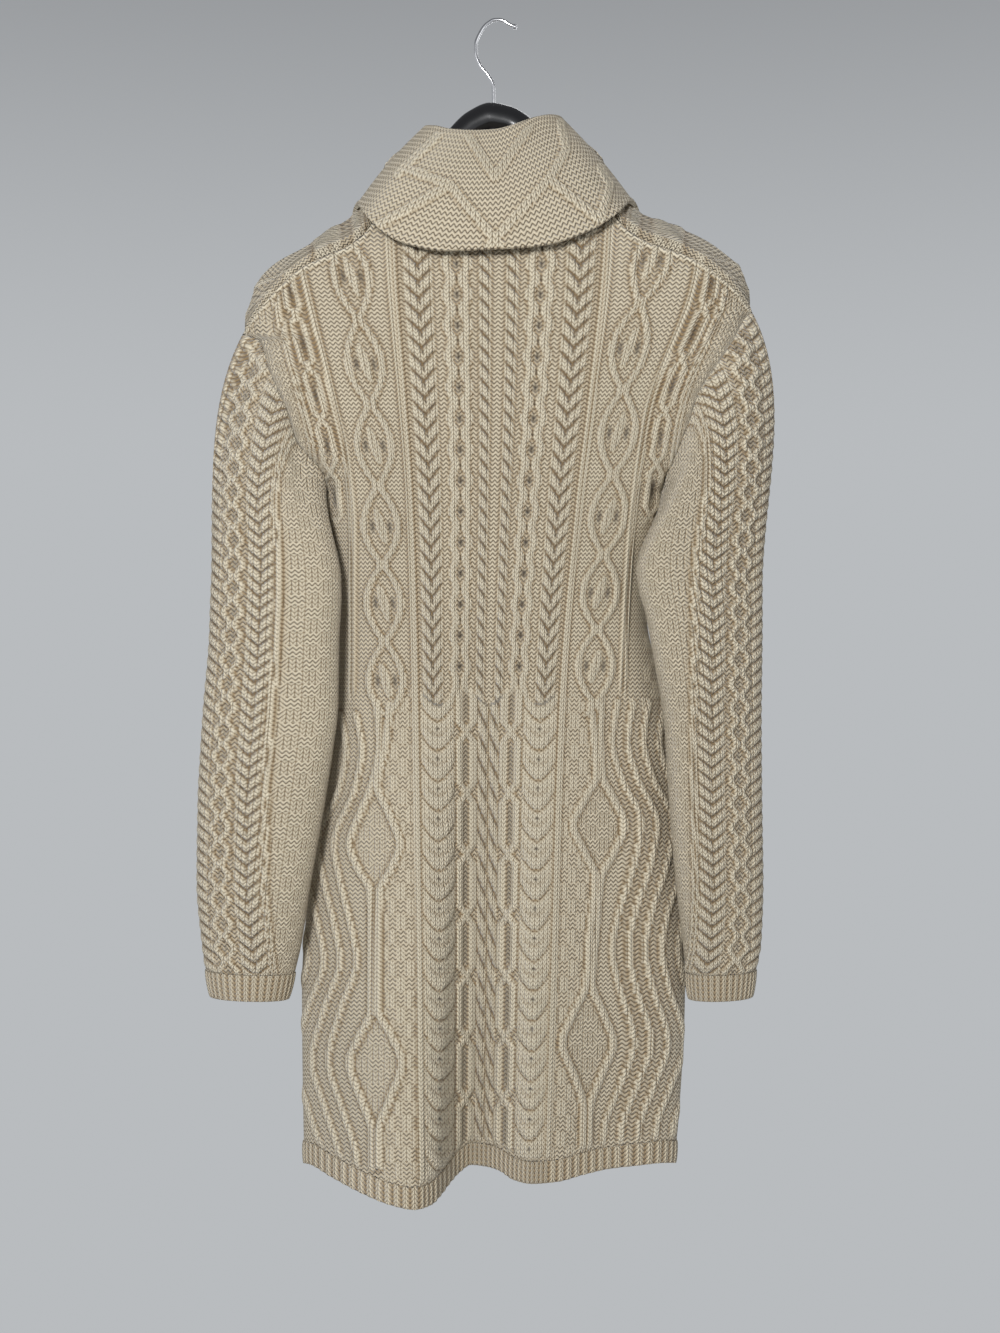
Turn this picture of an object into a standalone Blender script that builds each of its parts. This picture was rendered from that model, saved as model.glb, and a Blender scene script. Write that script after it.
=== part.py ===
"""An aran cardigan on a hanger: cabled back and sleeves, plain fronts, ribbed edges, turned-down collar.

Metres, Z up, the back facing -Y. The origin is the point where the hook hangs.
Outlines are held in short tables of steps, across and down, as they look from in front of the back.
"""

import math

import bpy
import numpy as np

for thing in list(bpy.data.objects):
    bpy.data.objects.remove(thing, do_unlink=True)

STEP = 0.00085  # one step of the outline tables
HANG_ACROSS, HANG_DOWN = 493.0, 22.0  # the hanging point, in steps
EYE_X, EYE_Y, EYE_Z = 0.006, -1.5, -0.548  # the place the outlines are seen from
WALL = 0.0032  # knitted wall without its cables
CABLE = 0.0022  # how far a cable stands out of the wall
RIB_HIGH = 0.0014  # how far a rib stands out
HALF_GAP = 0.00016  # each piece stops this far short of a seam
COLUMN_STEP = 0.043  # stitch columns of the back, as a share of its half width
BUTTON_RADIUS = 0.0090
BUTTON_THICK = 0.0042
BAND_STEP = 0.0050  # the over band stands this far out of the under band
LEVEL = np.array([1.0, 1.0, 0.0])  # keeps a direction level
WIRE_RADIUS = 0.0015
BACK_TOP_ROWS, BACK_LOW_ROWS = 18, 36
FRONT_SHARES = (0, 0.05, 0.10, 0.16, 0.22, 0.31, 0.40, 0.50, 0.60, 0.70, 0.80, 0.90, 1.0)
FRONT_TOP_ROWS, FRONT_LOW_ROWS = len(FRONT_SHARES) - 1, 12
SLEEVE_RINGS_TOP, SLEEVE_RINGS_LOW = 8, 13

# down, across, back depth, front depth: armhole edge, then side edge
LEFT_EDGE = (
    (334, 243, -0.012, -0.012), (341, 259, -0.024, 0.006), (367, 268, -0.040, 0.026),
    (410, 287, -0.050, 0.038), (443, 298, -0.053, 0.036), (469, 320, -0.048, 0.024),
    (482, 327, -0.038, 0.004), (494, 327, -0.020, -0.020), (520, 333, -0.0183, -0.0183),
    (560, 336, -0.0157, -0.0157), (640, 336, -0.0105, -0.0105), (700, 333, -0.0065, -0.0065),
    (800, 321, 0.000, 0.000), (884, 309, 0.000, 0.000), (990, 302, 0.000, 0.000),
    (1149, 304, 0.000, 0.000), (1210, 306, 0.000, 0.000),
)
RIGHT_EDGE = (
    (312, 752, -0.012, -0.012), (320, 744, -0.024, 0.006), (339, 734, -0.038, 0.024),
    (362, 719, -0.046, 0.034), (390, 700, -0.050, 0.038), (427, 687, -0.053, 0.036),
    (456, 675, -0.051, 0.028), (478, 665, -0.040, 0.006), (494, 659, -0.020, -0.020),
    (520, 651, -0.0183, -0.0183), (560, 644, -0.0157, -0.0157), (618, 647, -0.0119, -0.0119),
    (673, 658, -0.0083, -0.0083), (718, 666, -0.0054, -0.0054), (802, 675, 0.000, 0.000),
    (884, 682, 0.000, 0.000), (990, 685, 0.000, 0.000), (1115, 679, 0.000, 0.000),
    (1149, 676, 0.000, 0.000), (1210, 673, 0.000, 0.000),
)
UNDERARM = 494.0

# across, down, depth: shoulder seam, neck, shoulder seam
BACK_TOP = (
    (243, 334, -0.012), (262, 306, -0.024), (300, 269, -0.031),
    (360, 238, -0.034), (374, 221, -0.0265), (386, 204, -0.0145), (398, 186, 0.000),
    (412, 192, -0.020), (430, 199, -0.031), (460, 203, -0.036), (494, 205, -0.037),
    (528, 203, -0.036), (560, 198, -0.031), (576, 191, -0.020), (588, 184, 0.000),
    (601, 201, -0.0145), (616, 218, -0.0265), (631, 233, -0.034), (700, 262, -0.032),
    (733, 288, -0.025), (752, 312, -0.012),
)
SHOULDER_KNOTS = {-1: (0, 1, 2, 3, 4, 5, 6), 1: (20, 19, 18, 17, 16, 15, 14)}  # rows of the table above
KNOT_SHARE = (0.0, 0.09, 0.20, 0.34, 0.42, 0.49, 0.55)  # where they lie across a front
# across, down: the top line of each shoulder
LEFT_RIDGE = ((243, 334), (250, 305), (262, 277), (310, 245), (358, 214), (398, 186))
RIGHT_RIDGE = (
    (588, 184), (631, 210), (665, 224), (700, 238), (725, 255), (742, 273), (748, 292), (752, 312),
)
# across, down, depth: the neck edge of each front, from the shoulder to the band
LEFT_NECK = (
    (398, 186, 0.000), (404, 198, 0.022), (420, 228, 0.036),
    (440, 268, 0.044), (462, 315, 0.050), (478, 350, 0.053),
)
RIGHT_NECK = (
    (588, 184, 0.000), (582, 196, 0.022), (566, 228, 0.036),
    (546, 268, 0.044), (524, 315, 0.050), (508, 350, 0.053),
)
FRONT_INNER = {-1: 478.0, 1: 508.0}

# down, middle stitch, half spacing of the inner twisted lines, back and front depth
MIDDLE = (
    (180, 500, 110, -0.036, 0.030), (270, 499, 106, -0.048, 0.042), (400, 497, 94, -0.054, 0.048),
    (498, 494.5, 84.5, -0.057, 0.050), (700, 489, 72.5, -0.059, 0.052),
    (960, 486.5, 66.5, -0.060, 0.053), (1160, 484, 63, -0.050, 0.052), (1220, 483.5, 62, -0.050, 0.052),
)
# down, left, right: the outer twisted lines
OUTER_LINE = (
    (240, 297, 700), (281, 306.5, 693), (410, 338, 646.5), (448, 346.7, 640), (532, 354.8, 629),
    (662, 354.8, 621.5), (802, 349.4, 618), (1000, 346, 618), (1160, 344, 616), (1220, 344, 616),
)
# across from the deep fold, depth added at the hem
HEM_FOLDS = (
    (-190, 0.0), (-165, 0.0), (-140, -0.013), (-114, -0.034), (-80, -0.053), (-59, -0.056),
    (-38, -0.040), (-25, 0.000), (-16, 0.018), (0, 0.028), (15, 0.024), (27, 0.010),
    (41, -0.010), (59, -0.023), (85, -0.020), (110, -0.010), (136, -0.003), (170, 0.0), (230, 0.0),
)
# down, where the deep fold lies, how open the folds are
FOLD_LINE = ((600, 490, 0.0), (700, 487, 0.08), (800, 483, 0.26), (960, 478, 0.52), (1080, 475, 0.78),
             (1165, 472, 1.0), (1220, 471, 1.0))
# across, down: the bottom edge of the back
HEM_LINE = (
    (300, 1163), (306, 1163.5), (333, 1178), (359, 1192), (393, 1206), (414, 1210), (431, 1205),
    (441, 1195), (450, 1183), (460, 1172), (471, 1165), (488, 1167), (500, 1171), (514, 1180), (532, 1184),
    (557, 1182), (583, 1175), (609, 1169), (635, 1166), (666, 1163), (690, 1163),
)
HEM_HIGH = 22.0  # steps
FRONT_HEM = 1163.0

# down, outer edge, inner edge, depth of the middle, half depth, lean towards the back
LEFT_SLEEVE = (
    (334, 243, 262, -0.012, 0.020, 0.000), (390, 232, 280, -0.014, 0.034, 0.004),
    (451, 226, 312, -0.020, 0.036, 0.010), (543, 214, 338, -0.031, 0.032, 0.020),
    (597, 211, 341.7, -0.034, 0.030, 0.024), (640, 209.5, 339.6, -0.033, 0.030, 0.024),
    (705, 204, 338.5, -0.030, 0.030, 0.022), (751, 201, 333, -0.030, 0.030, 0.021),
    (802, 198.4, 325, -0.029, 0.030, 0.019), (884, 197.3, 310.6, -0.028, 0.028, 0.016),
    (945, 202.4, 301, -0.024, 0.025, 0.010), (971, 206, 295, -0.022, 0.023, 0.006),
    (1000, 211, 288, -0.021, 0.022, 0.004),
)
RIGHT_SLEEVE = (
    (312, 752, 744, -0.012, 0.020, 0.000), (371, 757.5, 706, -0.014, 0.034, 0.004),
    (451, 759, 674, -0.020, 0.036, 0.010), (543, 761, 641, -0.032, 0.032, 0.021),
    (582, 762, 637.5, -0.035, 0.030, 0.026), (618, 762, 646, -0.034, 0.030, 0.025),
    (673, 761.5, 656, -0.031, 0.030, 0.022), (718, 761, 663.5, -0.028, 0.030, 0.018),
    (802, 761.6, 669, -0.027, 0.030, 0.015), (884, 762.7, 676, -0.026, 0.028, 0.012),
    (945, 760.6, 683, -0.024, 0.025, 0.008), (971, 756, 686, -0.022, 0.023, 0.005),
    (1000, 752, 689, -0.021, 0.022, 0.004),
)
SLEEVE_FREE = 585.0  # down to here the sleeve still follows the armhole
CUFF_TOP, CUFF_END = 971.0, 997.0

# seam (across, down, depth), fold, free edge: the collar from its left end round to its right end
COLLAR = (
    ((478, 350, 0.053), (481, 336, 0.066), (450, 352, 0.069)),
    ((462, 315, 0.050), (468, 297, 0.064), (422, 322, 0.070)),
    ((440, 268, 0.044), (452, 240, 0.056), (386, 280, 0.067)),
    ((420, 228, 0.036), (440, 188, 0.046), (362, 246, 0.062)),
    ((404, 198, 0.022), (432, 146, 0.026), (352, 218, 0.040)),
    ((398, 186, 0.000), (430, 126, 0.000), (357, 205, 0.002)),
    ((412, 192, -0.020), (437, 126, -0.024), (366, 217, -0.038)),
    ((430, 199, -0.031), (452, 129, -0.037), (395, 240, -0.053)),
    ((460, 203, -0.036), (474, 130, -0.043), (444, 251, -0.062)),
    ((494, 205, -0.037), (495, 129, -0.045), (493, 249.5, -0.064)),
    ((528, 203, -0.036), (517, 123, -0.043), (541, 246, -0.062)),
    ((560, 198, -0.031), (535, 117, -0.037), (590, 231, -0.053)),
    ((576, 191, -0.020), (548, 115, -0.024), (618, 214, -0.038)),
    ((588, 184, 0.000), (556, 117, 0.000), (632, 202, 0.002)),
    ((582, 196, 0.022), (556, 142, 0.026), (640, 216, 0.040)),
    ((566, 228, 0.036), (548, 188, 0.046), (626, 246, 0.062)),
    ((546, 268, 0.044), (535, 240, 0.056), (602, 280, 0.067)),
    ((524, 315, 0.050), (518, 297, 0.064), (564, 322, 0.070)),
    ((508, 350, 0.053), (505, 336, 0.066), (536, 352, 0.069)),
)
COLLAR_STATIONS = 36
FOLD_RADIUS = 0.0016  # the hollow inside the collar's fold

# across, down, half thickness, half height: the hanger's top line
HANGER_ARCH = (
    (268, 290, 0.0040, 0.0060), (272, 285, 0.0055, 0.0080), (300, 265, 0.0062, 0.0090),
    (358, 226, 0.0068, 0.0098), (398, 197, 0.0070, 0.0100), (430, 157, 0.0074, 0.0105),
    (448, 131, 0.0076, 0.0110), (468, 112, 0.0080, 0.0115), (490, 103, 0.0085, 0.0120),
    (511, 107, 0.0080, 0.0115), (530, 118, 0.0076, 0.0110), (560, 155, 0.0074, 0.0105),
    (588, 196, 0.0070, 0.0100), (631, 222, 0.0068, 0.0098), (700, 252, 0.0062, 0.0090),
    (726, 276, 0.0055, 0.0080), (731, 283, 0.0040, 0.0060),
)
# across, down: the wire of the hook
HOOK_WIRE = (
    (493.7, 103.6), (493.5, 92), (493.3, 85.7), (488.4, 75.9), (480.4, 66), (475.9, 53.6), (475.9, 44.6),
    (480.4, 33), (484.4, 26.8), (489.3, 22.6), (494, 20.2), (499, 20.0), (504.5, 21.6), (509, 24.4),
    (514.5, 27),
)


def smooth_track(keys, values):
    """A curve through the points of a table that never swings past them."""
    x, y = np.asarray(keys, float), np.asarray(values, float)
    h = np.diff(x)
    slope = np.diff(y) / h
    lean = np.concatenate([slope[:1], np.zeros(len(x) - 2), slope[-1:]])
    for k in range(1, len(x) - 1):
        if slope[k - 1] * slope[k] > 0:
            a, b = 2 * h[k] + h[k - 1], h[k] + 2 * h[k - 1]
            lean[k] = (a + b) / (a / slope[k - 1] + b / slope[k])

    def at(q):
        q = np.clip(np.asarray(q, float), x[0], x[-1])
        k = np.clip(np.searchsorted(x, q, side="right") - 1, 0, len(h) - 1)
        t = (q - x[k]) / h[k]
        return (y[k] * (2 * t**3 - 3 * t**2 + 1) + lean[k] * h[k] * (t**3 - 2 * t**2 + t)
                + y[k + 1] * (3 * t**2 - 2 * t**3) + lean[k + 1] * h[k] * (t**3 - t**2))

    return at


def tracks(table):
    """One curve per column of a table, keyed on its first column."""
    rows = sorted(table)
    keys = [r[0] for r in rows]
    return [smooth_track(keys, [r[c] for r in rows]) for c in range(1, len(rows[0]))]


def ease(low, high, value):
    t = np.clip((np.asarray(value, float) - low) / (high - low), 0, 1)
    return t * t * (3 - 2 * t)


def unit(v):
    return v / np.maximum(np.linalg.norm(v, axis=-1, keepdims=True), 1e-12)


def spot(across, down, depth, level=None):
    """The point seen at a table position and lying at this depth; level fixes its height's depth."""
    across, down, depth = np.broadcast_arrays(*(np.asarray(v, float) for v in (across, down, depth)))
    near = (depth - EYE_Y) / -EYE_Y
    high = near if level is None else (np.asarray(level, float) - EYE_Y) / -EYE_Y
    x = EYE_X + ((across - HANG_ACROSS) * STEP - EYE_X) * near
    z = EYE_Z + ((HANG_DOWN - down) * STEP - EYE_Z) * high
    return np.stack([x, depth, z], axis=-1)


EDGE = {-1: tracks(LEFT_EDGE), 1: tracks(RIGHT_EDGE)}
TOP_DOWN, TOP_DEPTH = tracks(BACK_TOP)
RIDGE = {-1: tracks(LEFT_RIDGE)[0], 1: tracks(RIGHT_RIDGE)[0]}
NECK = {-1: tracks(LEFT_NECK), 1: tracks(RIGHT_NECK)}
MID_ACROSS, MID_HALF, MID_BACK, MID_FRONT = tracks(MIDDLE)
LINE_LEFT, LINE_RIGHT = tracks(OUTER_LINE)
FOLD_SHAPE = tracks(HEM_FOLDS)[0]
FOLD_ACROSS, FOLD_OPEN = tracks(FOLD_LINE)
HEM_DOWN = tracks(HEM_LINE)[0]
SLEEVE = {-1: tracks(LEFT_SLEEVE), 1: tracks(RIGHT_SLEEVE)}
NECK_POINT = {-1: 398.0, 1: 588.0}
TIP = {-1: 334.0, 1: 312.0}
INNER_AT, OUTER_AT = 0.46, 0.74  # where the twisted lines lie across a half back


def back_across(q, down):
    """Table position of stitch line q, from -1 at the left edge to 1 at the right edge."""
    q, down = np.broadcast_arrays(np.asarray(q, float), np.asarray(down, float))
    middle, half = MID_ACROSS(down), MID_HALF(down)
    left = q < 0
    edge = np.where(left, EDGE[-1][0](np.maximum(down, TIP[-1])), EDGE[1][0](np.maximum(down, TIP[1])))
    outer = np.where(left, LINE_LEFT(down), LINE_RIGHT(down))
    inner = middle + np.where(left, -half, half)
    a = np.abs(q)
    w = np.sin(np.clip((a - OUTER_AT) / (1 - OUTER_AT), 0, 1) * math.pi / 2)
    return np.where(a <= INNER_AT, middle + (inner - middle) * a / INNER_AT,
                    np.where(a <= OUTER_AT, inner + (outer - inner) * (a - INNER_AT) / (OUTER_AT - INNER_AT),
                             outer + (edge - outer) * w))


def back_depth(across, down):
    """How deep the back lies at a table position."""
    middle = MID_ACROSS(down)
    left = across < middle
    edge = np.where(left, EDGE[-1][0](down), EDGE[1][0](down))
    side = np.where(left, EDGE[-1][1](down), EDGE[1][1](down))
    out = np.clip((across - middle) / (edge - middle), 0, 1)
    depth = side + (MID_BACK(down) - side) * np.sqrt(1 - out**3)
    depth = depth + FOLD_SHAPE(across - FOLD_ACROSS(down)) * FOLD_OPEN(down)
    below = np.maximum(down - TOP_DOWN(across), 0)
    top = TOP_DEPTH(across)
    depth = top + (depth - top) * (1 - np.exp(-below / 26.0))
    return depth


def back_start(q):
    """Table height at which stitch line q meets the shoulder seam or the neck."""
    down = np.full(np.shape(q), 260.0)
    for _ in range(40):
        down = 0.5 * down + 0.5 * TOP_DOWN(back_across(q, down))
    down = np.where(np.asarray(q) <= -0.9999, TIP[-1], down)
    return np.where(np.asarray(q) >= 0.9999, TIP[1], down)


def stitch_at(across):
    """The stitch line whose top end lies at this table position."""
    low, high = -1.0, 1.0
    for _ in range(40):
        middle = (low + high) / 2
        top = float(back_across(middle, back_start(np.array(middle))))
        low, high = (middle, high) if top < across else (low, middle)
    return (low + high) / 2


def back_base(q, t):
    """The back: t 0 at the top, 1 at the underarm, 2 at the rib, 3 at the bottom edge."""
    q, t = np.broadcast_arrays(np.asarray(q, float), np.asarray(t, float))
    start = back_start(q)
    end = HEM_DOWN(back_across(q, np.full(q.shape, 1170.0)))
    down = np.where(t < 1, start + (UNDERARM - start) * t, UNDERARM + (end - HEM_HIGH - UNDERARM) * (t - 1))
    down = np.where(t > 2, end - HEM_HIGH * (3 - t), down)
    across = back_across(q, down)
    return spot(across, down, back_depth(across, down))


def front_base(side, p, t):
    """A front: p 0 at the armhole and side, 1 at the band; t as for the back."""
    p, t = np.broadcast_arrays(np.asarray(p, float), np.asarray(t, float))
    inner, neck = FRONT_INNER[side], NECK_POINT[side]
    over = p < 0.5499
    knots = [BACK_TOP[k][0] for k in SHOULDER_KNOTS[side]]
    first = np.where(over, np.interp(p, KNOT_SHARE, knots), neck + (inner - neck) * (p - 0.55) / 0.45)
    start = np.where(over, TOP_DOWN(first), NECK[side][0](first))
    start_depth = np.where(over, TOP_DEPTH(first), NECK[side][1](first))
    rise = np.where(over, RIDGE[side](first), start + 0.10 * (UNDERARM - start))
    fall = np.where(over, rise + 30, start + 0.22 * (UNDERARM - start))
    keys = np.array([0, 0.10, 0.22, 1.0])
    stops = np.stack([start, rise, fall, np.full(p.shape, UNDERARM)], axis=-1)
    low = np.clip(np.searchsorted(keys, np.minimum(t, 0.999999), side="right") - 1, 0, 2)
    share = (np.minimum(t, 1) - keys[low]) / (keys[low + 1] - keys[low])
    pick = np.take_along_axis(stops, low[..., None], -1)[..., 0]
    after = np.take_along_axis(stops, low[..., None] + 1, -1)[..., 0]
    down = pick + (after - pick) * share
    down = np.where(p <= 0, TIP[side] + (UNDERARM - TIP[side]) * np.minimum(t, 1), down)
    down = np.where(t > 1, UNDERARM + (FRONT_HEM - HEM_HIGH - UNDERARM) * (t - 1), down)
    down = np.where(t > 2, FRONT_HEM - HEM_HIGH * (3 - t), down)
    edge = EDGE[side][0](down)
    reach = np.sin(p * math.pi / 2) ** 1.3
    across = edge + (inner - edge) * reach
    across = np.where(p <= 0, edge, first + (across - first) * ease(0, 0.5, t))
    out = np.clip((across - 493) / (edge - 493), 0, 1)
    side_depth = EDGE[side][2](down)
    depth = side_depth + (MID_FRONT(down) - side_depth) * np.sqrt(1 - out**3)
    settled = ease(0.10, 0.40, t)
    early = np.interp(t, [0, 0.10, 0.22, 1], [0, 1, 2, 2])
    ridge_depth = np.where(over, 0.003 * p / 0.55 - 0.006 * (1 - p / 0.55),
                           np.maximum(start_depth + 0.002, 0.026))
    front_depth = np.where(over, 0.027 + 0.008 * p / 0.55, np.maximum(start_depth + 0.003, 0.040))
    fresh = np.where(early < 1, start_depth + (ridge_depth - start_depth) * early,
                     ridge_depth + (front_depth - ridge_depth) * (early - 1))
    depth = np.where(p <= 0, side_depth, fresh + (depth - fresh) * settled)
    if side > 0:
        depth = depth + BAND_STEP * ease(0.45, 1.0, p) * ease(0.0, 0.25, t)
    point = spot(across, down, depth, np.zeros(p.shape))
    seam = spot(first, start, start_depth)
    return np.where(((t <= 0) & over)[..., None], seam, point)


def grid_normals(points, flip=1.0):
    """Outward direction at each point of a grid (rows down, columns across)."""
    return unit(np.cross(np.gradient(points, axis=1), np.gradient(points, axis=0))) * flip


def neck_normal(points):
    flat = points * LEVEL - np.array([0.001, 0.0, 0.0])
    lift = 0.25 + 4.0 * np.abs(flat[..., :1])
    return unit(unit(flat) + lift * np.array([0, 0, 1.0]))


def square_to(direction, run):
    """The direction made square to the line it stands on."""
    run = unit(run)
    return unit(direction - np.sum(direction * run, axis=-1, keepdims=True) * run)


def shoulder_seam(side):
    """Table places, points and shared directions of the shoulder seam's knots, tip first."""
    knots = np.array([BACK_TOP[k] for k in SHOULDER_KNOTS[side]], float)
    points = spot(*knots.T)
    normals = square_to(np.broadcast_to([side * 0.42, -0.66, 0.62], points.shape),
                        np.gradient(points, axis=0))
    normals[0] = armhole(side)[1][0]
    normals[1] = unit(normals[0] + normals[2])
    normals[-1] = neck_normal(points[-1])
    for k, part in ((-3, 1 / 3), (-2, 2 / 3)):
        normals[k] = unit(normals[-4] * (1 - part) + normals[-1] * part)
    return knots[:, 0], points, normals


ARM_NORMALS = (  # share of the way from the shoulder tip to the underarm, out, back, up
    (0.00, 0.60, 0.35, 0.72), (0.12, 0.50, 0.70, 0.45), (0.45, 0.32, 0.93, 0.05),
    (0.80, 0.15, 0.85, -0.45), (0.92, -0.05, 0.50, -0.86), (1.00, -0.12, 0.00, -0.98),
)


def arm_normal(side, share, face):
    """Shared outward direction along an armhole; face is -1 for the back half and 1 for the front."""
    out, back, up = (np.interp(share, [r[0] for r in ARM_NORMALS], [r[c] for r in ARM_NORMALS])
                     for c in (1, 2, 3))
    return unit(np.stack([side * out, face * back, up], axis=-1))


def armhole(side):
    """The armhole's points and shared directions, down the back half and up the front half."""
    back_share = np.linspace(0, 1, BACK_TOP_ROWS + 1)
    front_share = np.array(FRONT_SHARES[-2:0:-1])
    back = back_base(np.full(back_share.shape, float(side)), back_share)
    front = front_base(side, np.zeros(front_share.shape), front_share)
    points = np.concatenate([back, front])
    normals = np.concatenate([arm_normal(side, back_share, -1), arm_normal(side, front_share, 1)])
    return points, square_to(normals, np.roll(points, -1, axis=0) - np.roll(points, 1, axis=0))


def pull_back(points, edge):
    """Draws one border of a grid back by the half gap, towards its next line."""
    points = points.copy()
    spots = {"top": ((0, slice(None)), (1, slice(None))), "low": ((-1, slice(None)), (-2, slice(None))),
             "first": ((slice(None), 0), (slice(None), 1)), "last": ((slice(None), -1), (slice(None), -2))}
    for name in edge:
        here, after = spots[name]
        points[here] += unit(points[after] - points[here]) * HALF_GAP
    return points


def knit(colour, rough=0.9):
    return {"colour": colour, "rough": rough, "metal": 0.0}


WOOL = knit((0.80, 0.73, 0.60))
RIBBED = knit((0.78, 0.70, 0.55))
BLACK = {"colour": (0.012, 0.012, 0.013), "rough": 0.22, "metal": 0.0}
STEEL = {"colour": (0.78, 0.78, 0.80), "rough": 0.16, "metal": 1.0}
HORN = {"colour": (0.42, 0.31, 0.20), "rough": 0.35, "metal": 0.0}


def make_object(name, vertices, faces, look):
    mesh = bpy.data.meshes.new(name)
    mesh.from_pydata([tuple(map(float, v)) for v in vertices], [], [tuple(map(int, f)) for f in faces])
    mesh.validate()
    item = bpy.data.objects.new(name, mesh)
    bpy.context.scene.collection.objects.link(item)
    material = bpy.data.materials.new(name)
    material.use_nodes = True
    shader = material.node_tree.nodes["Principled BSDF"]
    shader.inputs["Base Color"].default_value = (*look["colour"], 1.0)
    shader.inputs["Roughness"].default_value = look["rough"]
    shader.inputs["Metallic"].default_value = look["metal"]
    mesh.materials.append(material)
    return item


def strip(upper, lower, upper_at, lower_at):
    """Triangles between two lines of vertices that start and end together."""
    faces, a, b = [], 0, 0
    while a < len(upper) - 1 or b < len(lower) - 1:
        step_upper = b == len(lower) - 1 or (
            a < len(upper) - 1 and upper_at[a + 1] <= (lower_at[b] + lower_at[b + 1]) / 2)
        if step_upper:
            faces.append((upper[a], lower[b], upper[a + 1]))
            a += 1
        else:
            faces.append((upper[a], lower[b], lower[b + 1]))
            b += 1
    return faces


def outward(vertices, faces):
    """The faces, turned round if together they enclose less than nothing."""
    v = vertices[np.array(faces)]
    volume = np.einsum("ij,ij->i", v[:, 0], np.cross(v[:, 1], v[:, 2])).sum()
    return faces if volume > 0 else [f[::-1] for f in faces]


def wall(name, outer, inner, rows, columns, look, closed=False):
    """A closed wall: a fine outer grid over a plain inner grid picked from its rows and columns."""
    high, wide = outer.shape[:2]
    ring = wide if closed else wide - 1
    coarse = inner[np.ix_(rows, columns)]
    vertices = np.concatenate([outer.reshape(-1, 3), coarse.reshape(-1, 3)])

    def out_id(j, i):
        return j * wide + i % wide

    def in_id(j, i):
        return high * wide + j * len(columns) + i % len(columns)

    faces = []
    for j in range(high - 1):
        for i in range(ring):
            a, b, c, d = out_id(j, i), out_id(j, i + 1), out_id(j + 1, i + 1), out_id(j + 1, i)
            if np.linalg.norm(vertices[a] - vertices[c]) < np.linalg.norm(vertices[b] - vertices[d]):
                faces += [(a, c, b), (a, d, c)]
            else:
                faces += [(a, d, b), (b, d, c)]
    steps = len(columns) if closed else len(columns) - 1
    for j in range(len(rows) - 1):
        for i in range(steps):
            a, b, c, d = in_id(j, i), in_id(j, i + 1), in_id(j + 1, i + 1), in_id(j + 1, i)
            if np.linalg.norm(vertices[a] - vertices[c]) < np.linalg.norm(vertices[b] - vertices[d]):
                faces += [(a, b, c), (a, c, d)]
            else:
                faces += [(a, b, d), (b, c, d)]
    across = list(columns) + ([wide] if closed else [])
    outer_line = list(range(ring + 1))
    top = strip([out_id(0, i) for i in outer_line], [in_id(0, k) for k in range(steps + 1)],
                outer_line, across)
    low = strip([out_id(high - 1, i) for i in outer_line],
                [in_id(len(rows) - 1, k) for k in range(steps + 1)],
                outer_line, across)
    faces += [f[::-1] for f in top] + low
    if not closed:
        down = list(range(high))
        first = strip([out_id(j, 0) for j in down], [in_id(k, 0) for k in range(len(rows))], down, rows)
        last = strip([out_id(j, wide - 1) for j in down],
                     [in_id(k, len(columns) - 1) for k in range(len(rows))], down, rows)
        faces += first + [f[::-1] for f in last]
    return make_object(name, vertices, outward(vertices, faces), look)


def picks(last, stride, keep=()):
    """Every stride-th index up to the last one, with the ones to keep."""
    return sorted({*range(0, last, stride), *keep, last})


def bar(value, centre, width):
    """A rounded ridge of this width across the wall."""
    return np.sqrt(np.clip(1 - ((value - centre) / (width / 2)) ** 2, 0, 1))


def back_relief(q, down):
    """How far the cables of the back stand out, from 0 to 1."""
    a = np.abs(q)
    h = a / INNER_AT
    side = (a - INNER_AT) / (OUTER_AT - INNER_AT)
    low = ease(690, 715, down)
    rope = bar(h, 0.13, 0.15)
    wave = 0.115 * np.cos(math.pi * down / 15.5)
    chain = np.maximum(bar(h, 0.40 + wave, 0.09), bar(h, 0.40 - wave, 0.09))
    plait = np.maximum(bar(h, 0.70, 0.12), bar(h, 0.83, 0.12))
    upper = np.maximum(np.maximum(rope, chain), plait)
    link = 0.12 * np.sin(math.pi * down / 61)
    lower = np.maximum(bar(h, 0.07, 0.14), np.maximum(bar(h, 0.30 + link, 0.11), bar(h, 0.30 - link, 0.11)))
    shoe = 0.15 * np.abs(np.sin(math.pi * down / 30))
    lower = np.maximum(lower, np.maximum(bar(h, 0.71 + shoe, 0.12), bar(h, 0.71 - shoe, 0.12)))
    panel = np.where(h < 1, upper * (1 - low) + lower * low, 0)
    line = np.maximum(bar(h, 1.0, 0.09), bar(side, 1.0, 0.12))
    diamond = 0.33 * np.abs(((down - 284) / 80) % 1 * 2 - 1)
    lattice = np.maximum(bar(side, 0.5 + diamond, 0.16), bar(side, 0.5 - diamond, 0.16)) * (side > 0)
    edge_cable = bar(a, 0.85, 0.07)
    return np.maximum.reduce([panel, line, lattice, edge_cable])


def on_chords(places, points, wanted):
    """Points at the wanted places on the straight runs between the given points."""
    return np.stack([np.interp(wanted, places, points[:, c]) for c in range(3)], axis=-1)


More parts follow.
